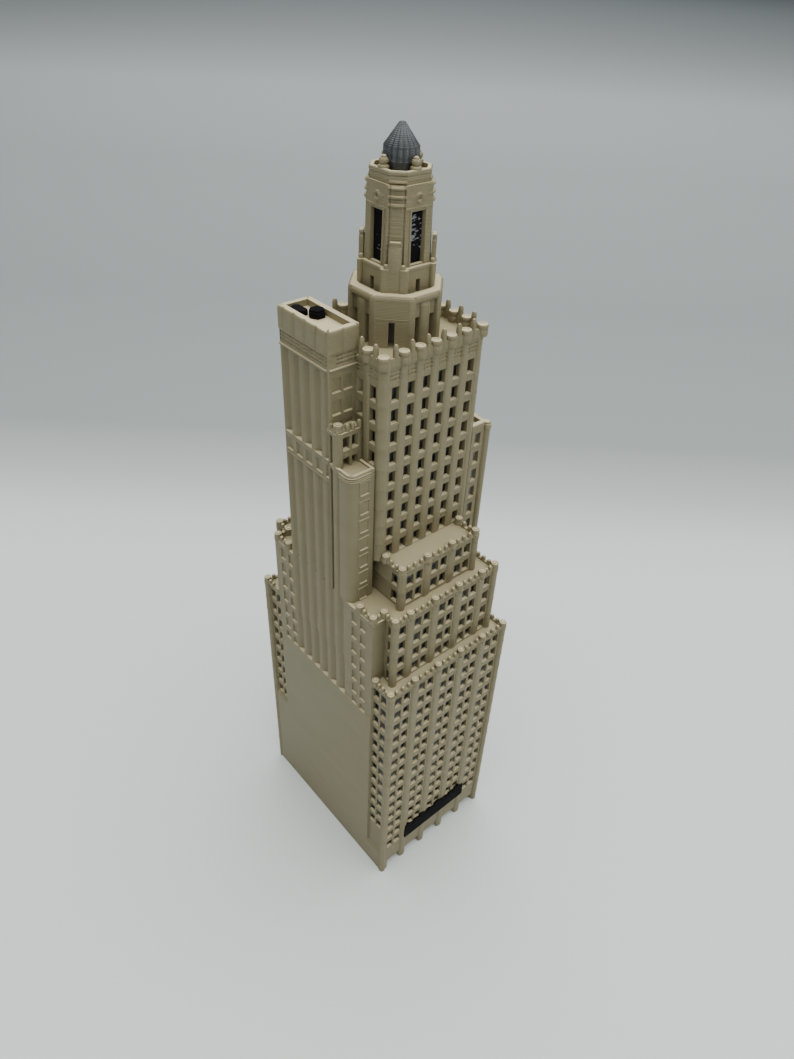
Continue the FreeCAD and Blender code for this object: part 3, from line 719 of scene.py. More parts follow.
def crest(route, marks, level):
    """Low wall along a route, a knob on every mark and studs in between.

    marks: for each step of the route, the distances at which knobs stand; the next step's
    first knob is the corner they share.
    """
    route = np.array(route, float)
    wall = [(out, up + level) for out, up in WALL_SECTION]
    parts = [rail(route, wall)]
    spots = {}
    for start, stop, knobs in zip(route, route[1:], marks):
        length = np.linalg.norm(stop - start)
        along = (stop - start) / length
        places = sorted(set([0.0, length] + list(knobs)))
        for a, b in zip(places, places[1:]):
            count = next(steps for least, steps in STUD_STEPS if b - a > least)
            for step in range(count + 1):
                x, y = start + along * (a + (b - a) * step / count)
                key = (round(float(x), 2), round(float(y), 2))
                spots[key] = spots.get(key, False) or step in (0, count)
    for (x, y), big in spots.items():
        radius, profile, around = (KNOB_RADIUS, KNOB_PROFILE, 16) if big else (STUD_RADIUS, STUD_PROFILE, 8)
        parts.append(scaled_turn(profile, radius, 1, x, y, level, around))
    return parts


# %% [markdown]
# # The base block
# Fourteen storeys of paired windows stand on a street level of low arches and a bright ledge.
# South, east and north are offices. The west side is a blind party wall with real windows only
# near its two ends.

# %% Base walls
INSET = 0.5
COLUMN_RADIUS = 0.72
WALL = 0.5
WINDOW = 1.5
SPREAD = 1.02
BLANK_HEIGHT = 48.5
BLANK_FOOT = 7.0
BLANK_SINK = 0.12
NORTH_ROWS = 9
PARAPET_GAP = 0.6
FOOT_TOP = 6.6
STREET_LINES = [0, 2.2, 2.35, 2.5, 2.8, 2.9, 5.2, 5.3, 5.62, 5.7, 5.8, 5.9, 6.0, 6.1, 6.7, 6.8, 7.0, 7.15]

low, high = span("base_shell")
base_low, base_high = low, high
base_top = high[2]
width, depth = high[0] - low[0] - 2 * INSET, high[1] - low[1] - 2 * INSET
front_marks = evenly(0, width, 5)
side_marks = evenly(0, depth, 7)
base_levels = [base_top - 2.3 - STOREY * row for row in range(14)]
NORTH_FOOT = base_levels[NORTH_ROWS - 1] - WINDOW_HEIGHT / 2 - 0.6
wing_start = 5.3
wing_south, wing_north = low[1] + wing_start, high[1] - wing_start
flute_first = span("service_tower")[0][1] - 2.5
flute_last = flute_first + 5 * FLUTE_PITCH
flute_samples = list(np.arange(flute_first - 1.6, flute_last + 1.6, FLUTE_STEP))
blind_y = [wing_south + 2.6, wing_south + 5.0, wing_north - 5.0, wing_north - 2.6]


def street(side, marks):
    """Adds the street level to an office side: arches, sunk panels, groove and ledge."""
    upper = side["relief"]

    def relief(t, z):
        office = upper(t, z)
        bays = np.zeros_like(t)
        for a, b in zip(marks, marks[1:]):
            bays = np.maximum(bays, plateau(t, a + 1.0, b - 1.0, 0.15))
        ledge = 0.22 * plateau(z, 6.1, 6.7, 0.1) + 0.1 * plateau(z, 2.5, 2.8, 0.1)
        sunk = 0.12 * bays * plateau(z, 2.9, 5.2, 0.1) + 0.16 * plateau(z, 5.7, 5.8, 0.1)
        return np.where(office > 0.02, office, ledge - sunk)

    gates = [(a + PIER_HALF, b - PIER_HALF, -1, 2.2) for a, b in zip(marks, marks[1:])]
    samples = [mark + side_of * 1.0 for mark in marks for side_of in (-1, 1)]
    return {"samples": side["samples"] + samples, "relief": relief, "holes": side["holes"] + gates}


def base_side(marks):
    """One office side of the base, with its piers on the marks."""
    side = office_side(marks[1:-1], paired(marks, SPREAD), base_levels, base_top, WINDOW)
    return street(side, marks)


def west_relief(t, z):
    """Blind wall: a raised flat panel, a rounded foot, flutes and blind windows near the top."""
    y = base_high[1] - INSET - t
    panel = plateau(y, wing_south, wing_north, 0.2)
    foot_top = np.where(y > wing_north, NORTH_FOOT, BLANK_FOOT)
    foot = plateau(z, -1, foot_top - 0.6, 0.6)
    raised = INSET * np.maximum(panel, foot)
    upper = plateau(z, BLANK_HEIGHT, 99, 0.1)
    marks = blind_windows(y, z, blind_y, base_levels[:3]) + flute(y, flute_first, flute_last) - BLANK_SINK
    lips = sill_profile(z, base_levels[:-2]) * 0.14 * (1 - panel)
    return np.maximum(raised, lips) + upper * marks * panel


end_windows = paired(side_marks[:2], SPREAD)
north_windows = [depth - t for t in end_windows]
west_samples = flute_samples + blind_samples(blind_y)
west_samples += [wing_south - 0.2, wing_south, wing_north, wing_north + 0.2]
west_samples = [base_high[1] - INSET - y for y in west_samples]
west_samples += [t + side * WINDOW / 2 for t in end_windows + north_windows for side in (-1, 1)]
west_holes = openings(north_windows, base_levels[:-2], WINDOW)
west_holes += openings(end_windows, base_levels[:NORTH_ROWS], WINDOW)
base_lines = STREET_LINES + storey_levels(base_levels) + crest_levels(base_top)
base_lines += [NORTH_FOOT - 0.6, NORTH_FOOT]
base_lines += blind_levels(base_levels[:3]) + [BLANK_HEIGHT - 0.1, BLANK_HEIGHT]
base_plan = box_plan(low, high, INSET)
front, flank = base_side(front_marks), base_side(side_marks)
base_sides = [front, flank, front, plain_side(west_samples, west_relief, west_holes)]
parts = [wall_ring(base_plan, base_sides, within(base_lines, 0, base_top), WALL, [COLUMN_RADIUS] * 4,
                   column_rings(base_levels, base_top))]
parts.append(deck(base_plan, 0.4, base_top - 0.9, base_top - 0.01))
parts += corner_posts(base_plan, range(4), 0, base_top - 0.95)
FOOT_OUTLINE = np.array([(0.02, 2.2), (0.02, 0.4), (0.14, 0.14), (0.4, 0.02), (1.5, 0.02), (1.5, 2.2)])
for y, turn, foot_top in ((low[1], 1, FOOT_TOP), (high[1], -1, NORTH_FOOT)):
    foot = FOOT_OUTLINE * (1, turn) + (low[0], y)
    parts.append(slab(foot[::turn], 0, foot_top, 0.5))
add_piece("base_walls", parts, "stone", "base_shell")

# %% Base parapet
line = base_plan
west_front = (line[0][0], wing_south - PARAPET_GAP)
west_back = (line[3][0], wing_north + PARAPET_GAP)
route = [west_front] + line + [west_back]
marks = [[], front_marks, side_marks, front_marks, []]
add_piece("base_crest", crest(route, marks, base_top), "stone", "base_parapet")

# %% [markdown]
# # Second tier
# The tier steps back all round, but on the west and east it keeps two wings flush with the base.
# Its plan is one outline of twelve corners, so the wall ring handles it like the base.

# %% Tier two walls
low, high = span("tier_two_shell")
two_floor, two_top = low[2], high[2]
body_inset = 2.35
west, east = low[0] + body_inset + INSET, high[0] - body_inset - INSET
south, north = base_low[1] + body_inset + INSET, base_high[1] - body_inset - INSET
east_wing = span("east_shoulder_shell")[0][1] - 0.1
two_plan = [
    (west, south), (east, south), (east, east_wing), (high[0], east_wing), (high[0], -east_wing),
    (east, -east_wing), (east, north), (west, north), (west, wing_north), (low[0], wing_north),
    (low[0], wing_south), (west, wing_south),
]
two_columns = [COLUMN_RADIUS, COLUMN_RADIUS, 0, 0, 0, 0, COLUMN_RADIUS, COLUMN_RADIUS, 0, 0, 0, 0]
two_levels = [two_top - 2.3 - STOREY * row for row in range(4)]
inner_marks = [mark + base_low[0] + INSET - west for mark in front_marks[1:-1]]
two_marks = [0] + inner_marks + [east - west]
two_windows = [(two_marks[0] + two_marks[1]) / 2] + paired(inner_marks, SPREAD)
two_windows += [(two_marks[-1] + two_marks[-2]) / 2]


def wing_relief(t, z):
    """Flush west wing: flutes in the middle, blind windows towards both ends."""
    y = wing_north - t
    return blind_windows(y, z, blind_y, two_levels) + flute(y, flute_first, flute_last)


def two_offices(piers, windows, window_width=WINDOW):
    """A windowed side of the second tier."""
    return office_side(piers, windows, two_levels, two_top, window_width)


offices = two_offices(inner_marks, two_windows)
corner_run = abs(east_wing - south)
corner_office = two_offices([5.6], [1.9, 3.9])
corner_office_back = two_offices([corner_run - 5.6], [corner_run - 3.9, corner_run - 1.9])
nook, nook_back = [two_offices([], [(wing_south - south) / 2 + shift], 1.3) for shift in (0.3, -0.3)]
string = plain_side([], lambda t, z: 0.15 * mouldings(z, two_top) + 0 * t)
wing_samples = [wing_north - y for y in flute_samples + blind_samples(blind_y)]
east_centres = [bay + side for bay in (2.4, 7.2, 12, 16.8) for side in (-1, 1)]
east_plain = plain_side(blind_samples(east_centres),
                        lambda t, z: blind_windows(t, z, east_centres, two_levels))
two_sides = [offices, corner_office, string, east_plain, string, corner_office_back, offices, nook_back,
             string, plain_side(wing_samples, wing_relief), string, nook]
two_lines = [two_floor] + storey_levels(two_levels) + crest_levels(two_top) + blind_levels(two_levels)
parts = [wall_ring(two_plan, two_sides, within(two_lines, two_floor, two_top), WALL, two_columns,
                   column_rings(two_levels, two_top))]
parts.append(deck(two_plan, 0.45, two_top - 0.9, two_top - 0.01))
parts += corner_posts(two_plan, (0, 1, 6, 7), two_floor, two_top - 0.95)
add_piece("tier_two_walls", parts, "stone", "tier_two_shell")

# %% Tier two parapet
edge_x = base_low[0] + INSET
nook_y, east_y = wing_south + INSET, east_wing + INSET
route = [
    (edge_x, wing_south + 4.0), (edge_x, nook_y), (west, nook_y), (west, south), (east, south),
    (east, east_y), (-edge_x, east_y), (-edge_x, -east_y), (east, -east_y), (east, north), (west, north),
    (west, -nook_y), (edge_x, -nook_y), (edge_x, wing_north - 4.0),
]
marks = [[], [], [], two_marks, [5.6], [], evenly(0, -2 * east_y, 3), [], [], two_marks, [], [], []]
add_piece("tier_two_crest", crest(route, marks, two_top), "stone", "tier_two_parapet")

# %% [markdown]
# # Third tier
# A low two-storey step at each end of the tower, three bays wide, with its own parapet.

# %% Tier three walls and parapets
low, high = span("tier_three_shell")
three_top = high[2]
plan = box_plan(low, high, INSET)
width, depth = high[0] - low[0] - 2 * INSET, high[1] - low[1] - 2 * INSET
three_levels = [three_top - 2.3 - STOREY * row for row in range(2)]
three_marks = evenly(0, width, 3)
tower_low, tower_high = span("tower_shell")
ends = [1.7, depth - 1.7]
offices = office_side(three_marks[1:-1], paired(three_marks, SPREAD), three_levels, three_top, WINDOW)
flank = office_side([], ends, three_levels, three_top, WINDOW)
three_lines = within([low[2]] + storey_levels(three_levels) + crest_levels(three_top), low[2], three_top)
parts = [wall_ring(plan, [offices, flank, offices, flank], three_lines, WALL, [COLUMN_RADIUS] * 4,
                   column_rings(three_levels, three_top))]
parts.append(deck(plan, 0.4, three_top - 0.9, three_top - 0.01))
parts += corner_posts(plan, range(4), low[2], three_top - 0.95)
add_piece("tier_three_walls", parts, "stone", "tier_three_shell")
(west, south), (east, _), (_, north), _ = plan
for name, near, far in (("south", south, tower_low[1] - PARAPET_GAP),
                        ("north", north, tower_high[1] + PARAPET_GAP)):
    route = [(west, far), (west, near), (east, near), (east, far)]
    if name == "north":
        route = route[::-1]
    add_piece("tier_three_crest_" + name, crest(route, [[], three_marks, []], three_top), "stone",
              "tier_three_parapet_" + name)

# %% [markdown]
# # The main tower
# Slender piers rise the full height with one window between each pair. Under the parapet is a
# frieze of small dimples, and above it wide round blocks stand over the piers, with slender
# bullets between them. The cornice line dips under each block: its height is moved down by a
# bump of the distance to the nearest block.

# %% Tower walls
low, high = tower_low, tower_high
tower_floor, tower_top = low[2], high[2]
west, east, south, north = low[0] + INSET, high[0] - INSET, low[1] + INSET, high[1] - INSET
slab_low, slab_high = span("service_tower")
notch = slab_high[0] + 0.05
tower_plan = [(west, south), (east, south), (east, north), (notch, north), (notch, slab_low[1] - 0.1),
              (west, slab_low[1] - 0.1)]
tower_columns = [-0.55, -0.55, -0.55, 0, 0, 0]
tower_levels = [tower_top - 4.6 - STOREY * row for row in range(9)]
columns = evenly(2.2, east - west - 2.0, 5)
tower_piers = [(a + b) / 2 for a, b in zip(columns, columns[1:])]
TOWER_WINDOW = 1.4
FRIEZE = 3.1
DIMPLE_STEP = 0.62
EDGE_PIER = 0.32


def tower_side(piers, windows, levels):
    """Offices below, then the dimpled frieze and the dipping cornice line."""
    side = office_side(piers, windows, levels, tower_top + NO_CREST, TOWER_WINDOW,
                       half=0.78, power=6, skin=0.24)
    offices = side["relief"]
    blocks = np.array(sorted(piers))
    centres = [window + step * 0.72 for window in windows for step in (-1, 0, 1)]
    rows = [tower_top - 0.95 - DIMPLE_STEP * row for row in range(3)]

    def relief(t, z):
        nearest = np.min(np.abs(t - blocks[:, None]), axis=0, keepdims=True)
        dip = 0.4 * np.clip(1 - (nearest / 0.9) ** 2, 0, 1)
        cornice = 0.36 * bell(z, tower_top - 0.1 - dip, 0.13)
        hood = plateau(z, tower_top - FRIEZE + 0.05, tower_top - FRIEZE + 0.15, 0.08)
        hood += plateau(z, tower_top - FRIEZE - 0.3, tower_top - FRIEZE - 0.2, 0.08)
        return highest(offices(t, z), 0.16 * hood, cornice) - 0.3 * dimples(t, z, centres, rows, 0.2, 0.17)

    extra = [centre + step * 0.16 for centre in centres for step in (-1, 0, 1)]
    extra += [block + step for block in blocks for step in (-1.0, 1.0)]
    return {"samples": side["samples"] + extra, "relief": relief, "holes": side["holes"]}


tower_width, tower_depth = east - west, north - south
front = tower_side([EDGE_PIER] + tower_piers + [tower_width - EDGE_PIER], columns, tower_levels)
back_columns = [tower_width - t for t in columns]
back_piers = [tower_width - t for t in tower_piers]
back = tower_side([EDGE_PIER] + sorted(back_piers), sorted(back_columns), tower_levels)
back["holes"] = [hole for hole in back["holes"] if hole[1] < east - notch - 0.2]
flank_columns = evenly(2.0, tower_depth - 2.0, 5)
flank_piers = [(a + b) / 2 for a, b in zip(flank_columns, flank_columns[1:])]
flank = tower_side([EDGE_PIER] + flank_piers + [tower_depth - EDGE_PIER], flank_columns, tower_levels[:3])
near_west = slab_low[1] - 0.1 - south
west_columns = [near_west - 4.9, near_west - 1.9]
west_side = tower_side([near_west - 3.4, near_west - EDGE_PIER], west_columns, tower_levels[:4])
tower_sides = [front, flank, back, plain_side(), plain_side(), west_side]
frieze_lines = list(tower_top - np.arange(0, FRIEZE + 0.5, 0.105))
tower_lines = within([tower_floor] + storey_levels(tower_levels) + frieze_lines, tower_floor, tower_top)
corner_rings = column_rings(tower_levels, tower_top)
parts = [wall_ring(tower_plan, tower_sides, tower_lines, WALL, tower_columns,
                   lambda z: PIER_PROUD + corner_rings(z))]
parts.append(deck(tower_plan, 0.45, tower_top - 0.9, tower_top - 0.01))
parts += corner_posts(tower_plan, (0, 1, 2), tower_floor, tower_top - 0.95, far=1.2)
add_piece("tower_walls", parts, "stone", "tower_shell")

# %% Tower parapet
BLOCK_PROFILE = [(0.94, -0.1), (1.0, 0.1), (1.0, 0.9), (0.93, 1.0), (0.93, 1.1), (1.02, 1.25), (1.02, 1.6),
                 (0.9, 1.75), (0.5, 1.8), (0.42, 1.74), (0.2, 1.74)]
BLOCK_RADIUS, BULLET_RADIUS = 0.92, 0.44
BULLET_PROFILE = [(1.0, 0.0), (1.0, 2.3), (0.8, 2.75), (0.35, 2.98)]
block_top = span("tower_parapet")[1][2] - tower_top
bullet = block_top / BULLET_PROFILE[-1][1]
route = [(west, slab_low[1] - PARAPET_GAP), (west, south), (east, south), (east, north),
         (notch + 0.4, north)]
parts = [rail(route, [(out, 3.6 * up + tower_top) for out, up in WALL_SECTION])]
block_marks = [0] + tower_piers + [tower_width]
spots = [(west + t, south) for t in block_marks]
spots += [(west + t, north) for t in block_marks if west + t > notch + 0.5]
spots += [(east, south + t) for t in flank_piers] + [(west, south + 3.4)]
parts += [scaled_turn(BLOCK_PROFILE, BLOCK_RADIUS, 1, x, y, tower_top, 18) for x, y in spots]
spots = [(west + t, y) for t in columns for y in (south, north) if y < 0 or west + t > notch + 0.5]
spots += [(east, south + t) for t in flank_columns] + [(west, south + t) for t in (1.75, 4.9)]
parts += [scaled_turn(BULLET_PROFILE, BULLET_RADIUS, bullet, x, y, tower_top, 10) for x, y in spots]
add_piece("tower_crest", parts, "stone", "tower_parapet")

# %% [markdown]
# # East shoulder and west wings
# A slim wing climbs each long side of the tower. The east one has a single column of windows on
# its ends. The lower west one is blind, with a broad rounded corner. The upper one has four
# small openings and carries a few studs and one knob.

# %% East shoulder
low, high = span("east_shoulder_shell")
shoulder_top = high[2]
plan = [(low[0], low[1] + INSET), (high[0] - INSET, low[1] + INSET), (high[0] - INSET, high[1] - INSET),
        (low[0], high[1] - INSET)]
length = high[1] - low[1] - 2 * INSET
shoulder_levels = [shoulder_top - 2.85 - STOREY * row for row in range(7)]
across = plan[1][0] - plan[0][0]
STRING_DROPS = (0.45, 0.85, 1.2)
WING_RIM = 0.3


def with_strings(side, top, start=-1):
    """Adds three string lines and an eased rim to the top of a side, past a start."""
    below = side["relief"]

    def relief(t, z):
        strings = sum(plateau(z, top - drop - 0.12, top - drop, 0.06) for drop in STRING_DROPS)
        rim = WING_RIM * (eased(z, top, WING_RIM) - 1)
        return np.where(t >= start, np.maximum(below(t, z), 0.15 * strings) + rim, below(t, z))

    return {**side, "relief": relief}


def rim_levels(top):
    """Grid heights for the three string lines and the eased rim."""
    strings = [top - drop - extra for drop in STRING_DROPS for extra in (-0.06, 0, 0.12, 0.18)]
    return strings + [top - WING_RIM, top - 0.2, top - 0.12, top - 0.05, top]


def rim_rings(top):
    """The same string lines and rim for the round corner columns."""
    bare = with_strings(plain_side(), top)["relief"]
    return lambda z: bare(np.zeros((1, 1)), z)


def shoulder_side(piers, windows):
    """A windowed side of the shoulder, with its string lines and rim."""
    side = office_side(piers, windows, shoulder_levels, shoulder_top + NO_CREST, 1.3, lip=0.12, bow=0.05)
    return with_strings(side, shoulder_top)


side_piers = evenly(0, length, 6)
side_windows = [(a + b) / 2 for a, b in zip(side_piers, side_piers[1:])]
sides = [shoulder_side([], [1.35]), shoulder_side(side_piers[1:-1], side_windows),
         shoulder_side([], [across - 1.35]), plain_side()]
lines = within([low[2]] + storey_levels(shoulder_levels) + rim_levels(shoulder_top), low[2], shoulder_top)
parts = [wall_ring(plan, sides, lines, 0.8, [0, 0.66, 0.66, 0], rim_rings(shoulder_top))]
parts.append(deck(plan, 0.4, shoulder_top - 1.9, shoulder_top - 0.9))
add_piece("east_shoulder_walls", parts, "stone", "east_shoulder_shell")

# %% West wings
low, high = span("west_wing_lower")
wing_top = high[2]
wing_end = slab_low[1] + 0.4
plan = [(base_low[0], low[1] + 0.1), (high[0], low[1] + 0.1), (high[0], wing_end), (base_low[0], wing_end)]
wing_levels = [wing_top - 2.9 - STOREY * row for row in range(7)]
WING_ROUND = 1.35
WING_PANEL = 2.75


def wing_front(t, z):
    """One column of sunk blind windows, each with a raised outline."""
    outline = highest(*(plateau(z, level - 1.3, level + 1.3, 0.08) for level in wing_levels))
    outline = outline * plateau(t, WING_PANEL - 1.0, WING_PANEL + 1.0, 0.08)
    return 0.14 * outline + blind_windows(t, z, [WING_PANEL], wing_levels, 0.34, 1.5)


def wing_side(start):
    """Flutes of a west wall whose samples run north to south from start."""
    return lambda t, z: flute(start - t, flute_first, flute_last) * plateau(z, 0, wing_top - 1.0, 0.4)


west_samples = list(np.arange(0, wing_end - low[1], FLUTE_STEP))
west_samples += [wing_end - high[1], wing_end - high[1] + 0.05]
lines = [low[2], wing_top - 1.6, wing_top - 1.2] + rim_levels(wing_top) + blind_levels(wing_levels)
lines += [level + rise for level in wing_levels for rise in (-1.38, -1.3, 1.3, 1.38)]
panel_edges = [WING_PANEL + side_of * (1.0 + extra) for side_of in (-1, 1) for extra in (0, 0.08)]
wing_face = plain_side(blind_samples([WING_PANEL], 1.5) + panel_edges, wing_front)
wing_flank = plain_side(west_samples, wing_side(wing_end))
sides = [with_strings(wing_face, wing_top), plain_side(), plain_side(),
         with_strings(wing_flank, wing_top, wing_end - high[1])]
parts = [wall_ring(plan, sides, within(lines, low[2], wing_top), 0.5, [-WING_ROUND, 0, 0, 0],
                   rim_rings(wing_top))]
parts.append(deck(plan, 0.35, wing_top - 1.1, wing_top - 0.3))
add_piece("west_wing_low_block", parts, "stone", "west_wing_lower")

low, high = span("west_wing_upper")
wing_top = high[2] - 1.3
west, east, south, north = base_low[0], high[0], low[1] + 0.3, high[1] + 0.7
plan = [(west, south), (east, south), (east, north), (west, north)]
upper_levels = [wing_top - 2.0 - STOREY * row for row in range(2)]
UPPER_PANELS = [1.75, 3.45]
UPPER_WINDOW = 1.2
face = office_side([], UPPER_PANELS, [], wing_top, UPPER_WINDOW)


def upper_front(t, z):
    """Crest lines of an office side over four openings in shallow sunk panels."""
    return face["relief"](t, z) + blind_windows(t, z, UPPER_PANELS, upper_levels, 0.1, UPPER_WINDOW)


front = plain_side(face["samples"] + blind_samples(UPPER_PANELS, UPPER_WINDOW), upper_front,
                   openings(UPPER_PANELS, upper_levels, UPPER_WINDOW, 2.2))
lines = within([low[2]] + crest_levels(wing_top) + blind_levels(upper_levels), low[2], wing_top)
west_samples = np.arange(0, high[1] - low[1], FLUTE_STEP)
sides = [front, plain_side(), plain_side(), plain_side(west_samples, wing_side(north))]
parts = [wall_ring(plan, sides, lines, 0.75, [-0.8, 0, 0, 0], column_rings([], wing_top))]
parts.append(deck(plan, 0.35, wing_top - 0.9, wing_top - 0.01))
ledge = [(west + 0.4, north), (west + 0.4, south + 0.4), (east, south + 0.4)]
parts.append(rail(ledge, [(0.8 * out, up + wing_top) for out, up in WALL_SECTION]))
parts.append(scaled_turn(KNOB_PROFILE, 0.85, 0.92, west + 0.85, south + 0.85, wing_top, 16))
for x, y in ((west + 2.1, south + 0.2), (west + 3.1, south + 0.2), (east - 0.4, south + 0.2),
             (west + 0.4, north - 0.5)):
    parts.append(scaled_turn(STUD_PROFILE, STUD_RADIUS, 1, x, y, wing_top, 8))
add_piece("west_wing_high_block", parts, "stone", "west_wing_upper")

# %% [markdown]
# # Service tower
# The tallest blind mass. Its west face carries the flutes, crossed by two rails with a row of
# blind windows between them, then a crown band with a ledge, three rows of dimples, soft ribs
# and a thick rounded rim round a sunk roof. The roof holds two black machines.

# %% Service tower walls
low, high = slab_low, slab_high
slab_top = high[2]
west = base_low[0]
plan = [(west, low[1]), (high[0], low[1]), (high[0], high[1]), (west, high[1])]
band = slab_top - 6.0
rails = (100.0, 96.1)
rail_windows = 98.0
rail_y = np.arange(flute_first + FLUTE_PITCH / 2, flute_last + FLUTE_PITCH, FLUTE_PITCH)
RIM_EASE = 0.6


def crown_band(t, z, posts):
    """Ledge, dimples and soft ribs of the crown band, and its eased rim."""
    ledge = 0.26 * plateau(z, band, band + 0.25, 0.08)
    ribs = highest(np.zeros_like(t), *(half_round(t, post, 1.2, 1.0, 4) for post in posts))
    centres = [post + FLUTE_PITCH / 2 + step for post in posts for step in (-1.0, -0.33, 0.34, 1.01)]
    rows = [band + 0.8 + DIMPLE_STEP * row for row in range(3)]
    body = 0.2 * ribs * plateau(z, band + 2.6, slab_top, 0.4)
    rim = 0.5 * RIM_EASE * (eased(z, slab_top, RIM_EASE) - 1)
    return np.maximum(ledge, body) - 0.4 * dimples(t, z, centres, rows, 0.19, 0.17) + rim


def slab_west(t, z):
    """Flutes below the band, two rails with blind windows between them."""
    y = high[1] - t
    below = plateau(z, 0, band - 0.5, 0.4)
    between = plateau(z, rails[1], rails[0], 0.1)
    grooves = flute(y, flute_first, flute_last) * below
    middle = [sum(rails) / 2 - 0.1]
    panels = blind_windows(y, z, rail_y - FLUTE_PITCH / 2, middle, 0.3, 1.5)
    lines = sum(plateau(z, level - 0.1, level + 0.1, 0.08) for level in rails)
    body = np.where(between > 0.5, panels, grooves)
    posts = high[1] - rail_y
    return (body * (1 - lines) + 0.1 * lines) * (z < band) + crown_band(t, z, posts) * (z >= band - 0.1)


PANEL_COLUMNS = [1.5, 3.6]
END_POSTS = [1.5, 4.0]


def slab_north(t, z):
    """Plain wall below the crown band."""
    return crown_band(t, z, END_POSTS) * (z >= band - 0.1)


def slab_south(t, z):
    """Two columns of sunk panels with string lines, then the crown band."""
    return blind_windows(t, z, PANEL_COLUMNS, slab_panels, 0.3, 1.5) * (z < band - 0.1) + slab_north(t, z)


slab_panels = [band - 2.4 - STOREY * row for row in range(11)]
west_samples = [high[1] - y for y in np.arange(low[1] + 0.1, high[1], 0.2)]
south_samples = blind_samples(PANEL_COLUMNS, 1.5) + list(np.arange(0.1, high[0] - west, 0.25))
lines = [low[2], band - 0.5, band - 0.1] + list(np.arange(band - 0.1, slab_top - 1.1, 0.105))
lines += [slab_top - RIM_EASE * part for part in (1, 0.7, 0.45, 0.25, 0.12, 0.04, 0)]
lines += [level + rise for level in rails for rise in (-0.18, -0.1, 0.1, 0.18)]
lines += blind_levels([rail_windows] + slab_panels)
sides = [plain_side(south_samples, slab_south), plain_side(), plain_side(south_samples, slab_north),
         plain_side(west_samples, slab_west)]
parts = [wall_ring(plan, sides, within(lines, low[2], slab_top), 0.9, [-0.25] * 4)]
roof = slab_top - 1.0
parts.append(deck(plan, 0.45, roof - 0.8, roof))
add_piece("service_tower_walls", parts, "stone", "service_tower")

# %% Roof machines
low, high = span("roof_unit_low")
angle = np.arange(28) * 2 * math.pi / 28
half = 1.12 * (high - low) / 2
bean = np.stack([half[0] * np.cos(angle), half[1] * np.sin(angle)], -1)
bean[:, 0] *= np.where(bean[:, 0] > 0, 0.55 + 0.45 * (bean[:, 1] / half[1]) ** 2, 1)
bean += ((low + high) / 2)[:2]
add_piece("roof_machine_low", [slab(bean, low[2], high[2], 0.2)], "black", "roof_unit_low")
low, high = span("roof_unit_tall")
middle, reach = (low + high) / 2, 1.1 * (high[0] - low[0]) / 2
MACHINE_PROFILE = [(1, 0), (1, 0.8), (0.86, 0.95), (0.86, 1.15), (0.6, 1.3), (0.3, 1.36)]
machine = scaled_turn(MACHINE_PROFILE, reach, 1, middle[0], middle[1], low[2], 6)
add_piece("roof_machine_tall", [machine], "black", "roof_unit_tall")

# %% [markdown]
# # The crown
# Two eight-sided drums, a lantern with tall black windows and a small faceted cap. The broad
# corner slabs of the drums stand proud of the slots between them, so they are again a relief on
# a wall ring: a plateau with rounded shoulders.

# %% Lower drum
low, high = span("crown_drum")
centre = (low + high)[:2] / 2
drum_floor, drum_top = low[2], high[2]


def octagon(half, cut):
    """Square of the given half width with its corners cut off, anticlockwise from the south side."""
    inner = half - cut
    ring = [(-inner, -half), (inner, -half), (half, -inner), (half, inner), (inner, half), (-inner, half),
            (-half, inner), (-half, -inner)]
    return np.array(ring) + centre


def compass(turn):
    """Unit directions outwards and sideways at a turn in degrees."""
    angle = math.radians(turn)
    return np.array([math.cos(angle), math.sin(angle)]), np.array([-math.sin(angle), math.cos(angle)])


def middle_and_reach(node):
    """Middle, half width and whole height of one frame node."""
    low, high = span(node)
    return (low + high) / 2, (high[0] - low[0]) / 2, high[2] - low[2]


def shoulders(t, start, stop, ease, proud):
    """Flat slab with rounded ends: a quarter ellipse over the ease at each end."""
    near = np.clip((np.minimum(t - start, stop - t)) / ease, 0, 1)
    return proud * np.sqrt(np.clip(1 - (1 - near) ** 2, 0, 1)) * ((t >= start) & (t <= stop))


DRUM_PROUD = 0.55
DRUM_EASE = 0.6
drum_half = (high[0] - low[0]) / 2
drum_wall = drum_half - DRUM_PROUD
drum_cut = 4.1 * drum_wall / drum_half
flat = 2 * (drum_wall - drum_cut)
slant = drum_cut * math.sqrt(2)
SLOT_HALF = 0.55
SLOT_AT = 1.5


def drum_face(t, z):
    """Middle pier with a rounded head, corner slab ends and a thick rim."""
    pier = half_round(t, flat / 2, SLOT_AT - SLOT_HALF, DRUM_PROUD) * eased(z, drum_top - 1.1, 0.9)
    ends = (shoulders(t, -9, 0.62, 0.3, DRUM_PROUD), shoulders(t, flat - 0.62, 99, 0.3, DRUM_PROUD))
    return highest(pier, *ends, drum_rim(z))


def drum_rim(z):
    """Thick rounded rim, a half circle over its height."""
    return half_round(z, drum_top - 0.6, 0.62, DRUM_PROUD)


def drum_slant(t, z):
    """Corner slab: all proud, with one fine string line."""
    string = 0.05 * plateau(z, drum_top - 3.45, drum_top - 3.35, 0.06)
    body = (DRUM_PROUD - 0.05 + string) * eased(z, drum_top, DRUM_EASE)
    return np.maximum(body, drum_rim(z) + 0 * t)


def drum_corner(z):
    """Rounded corner between a face and a slab: proud all the way up, eased into the rim."""
    return DRUM_PROUD * eased(z, drum_top, DRUM_EASE)


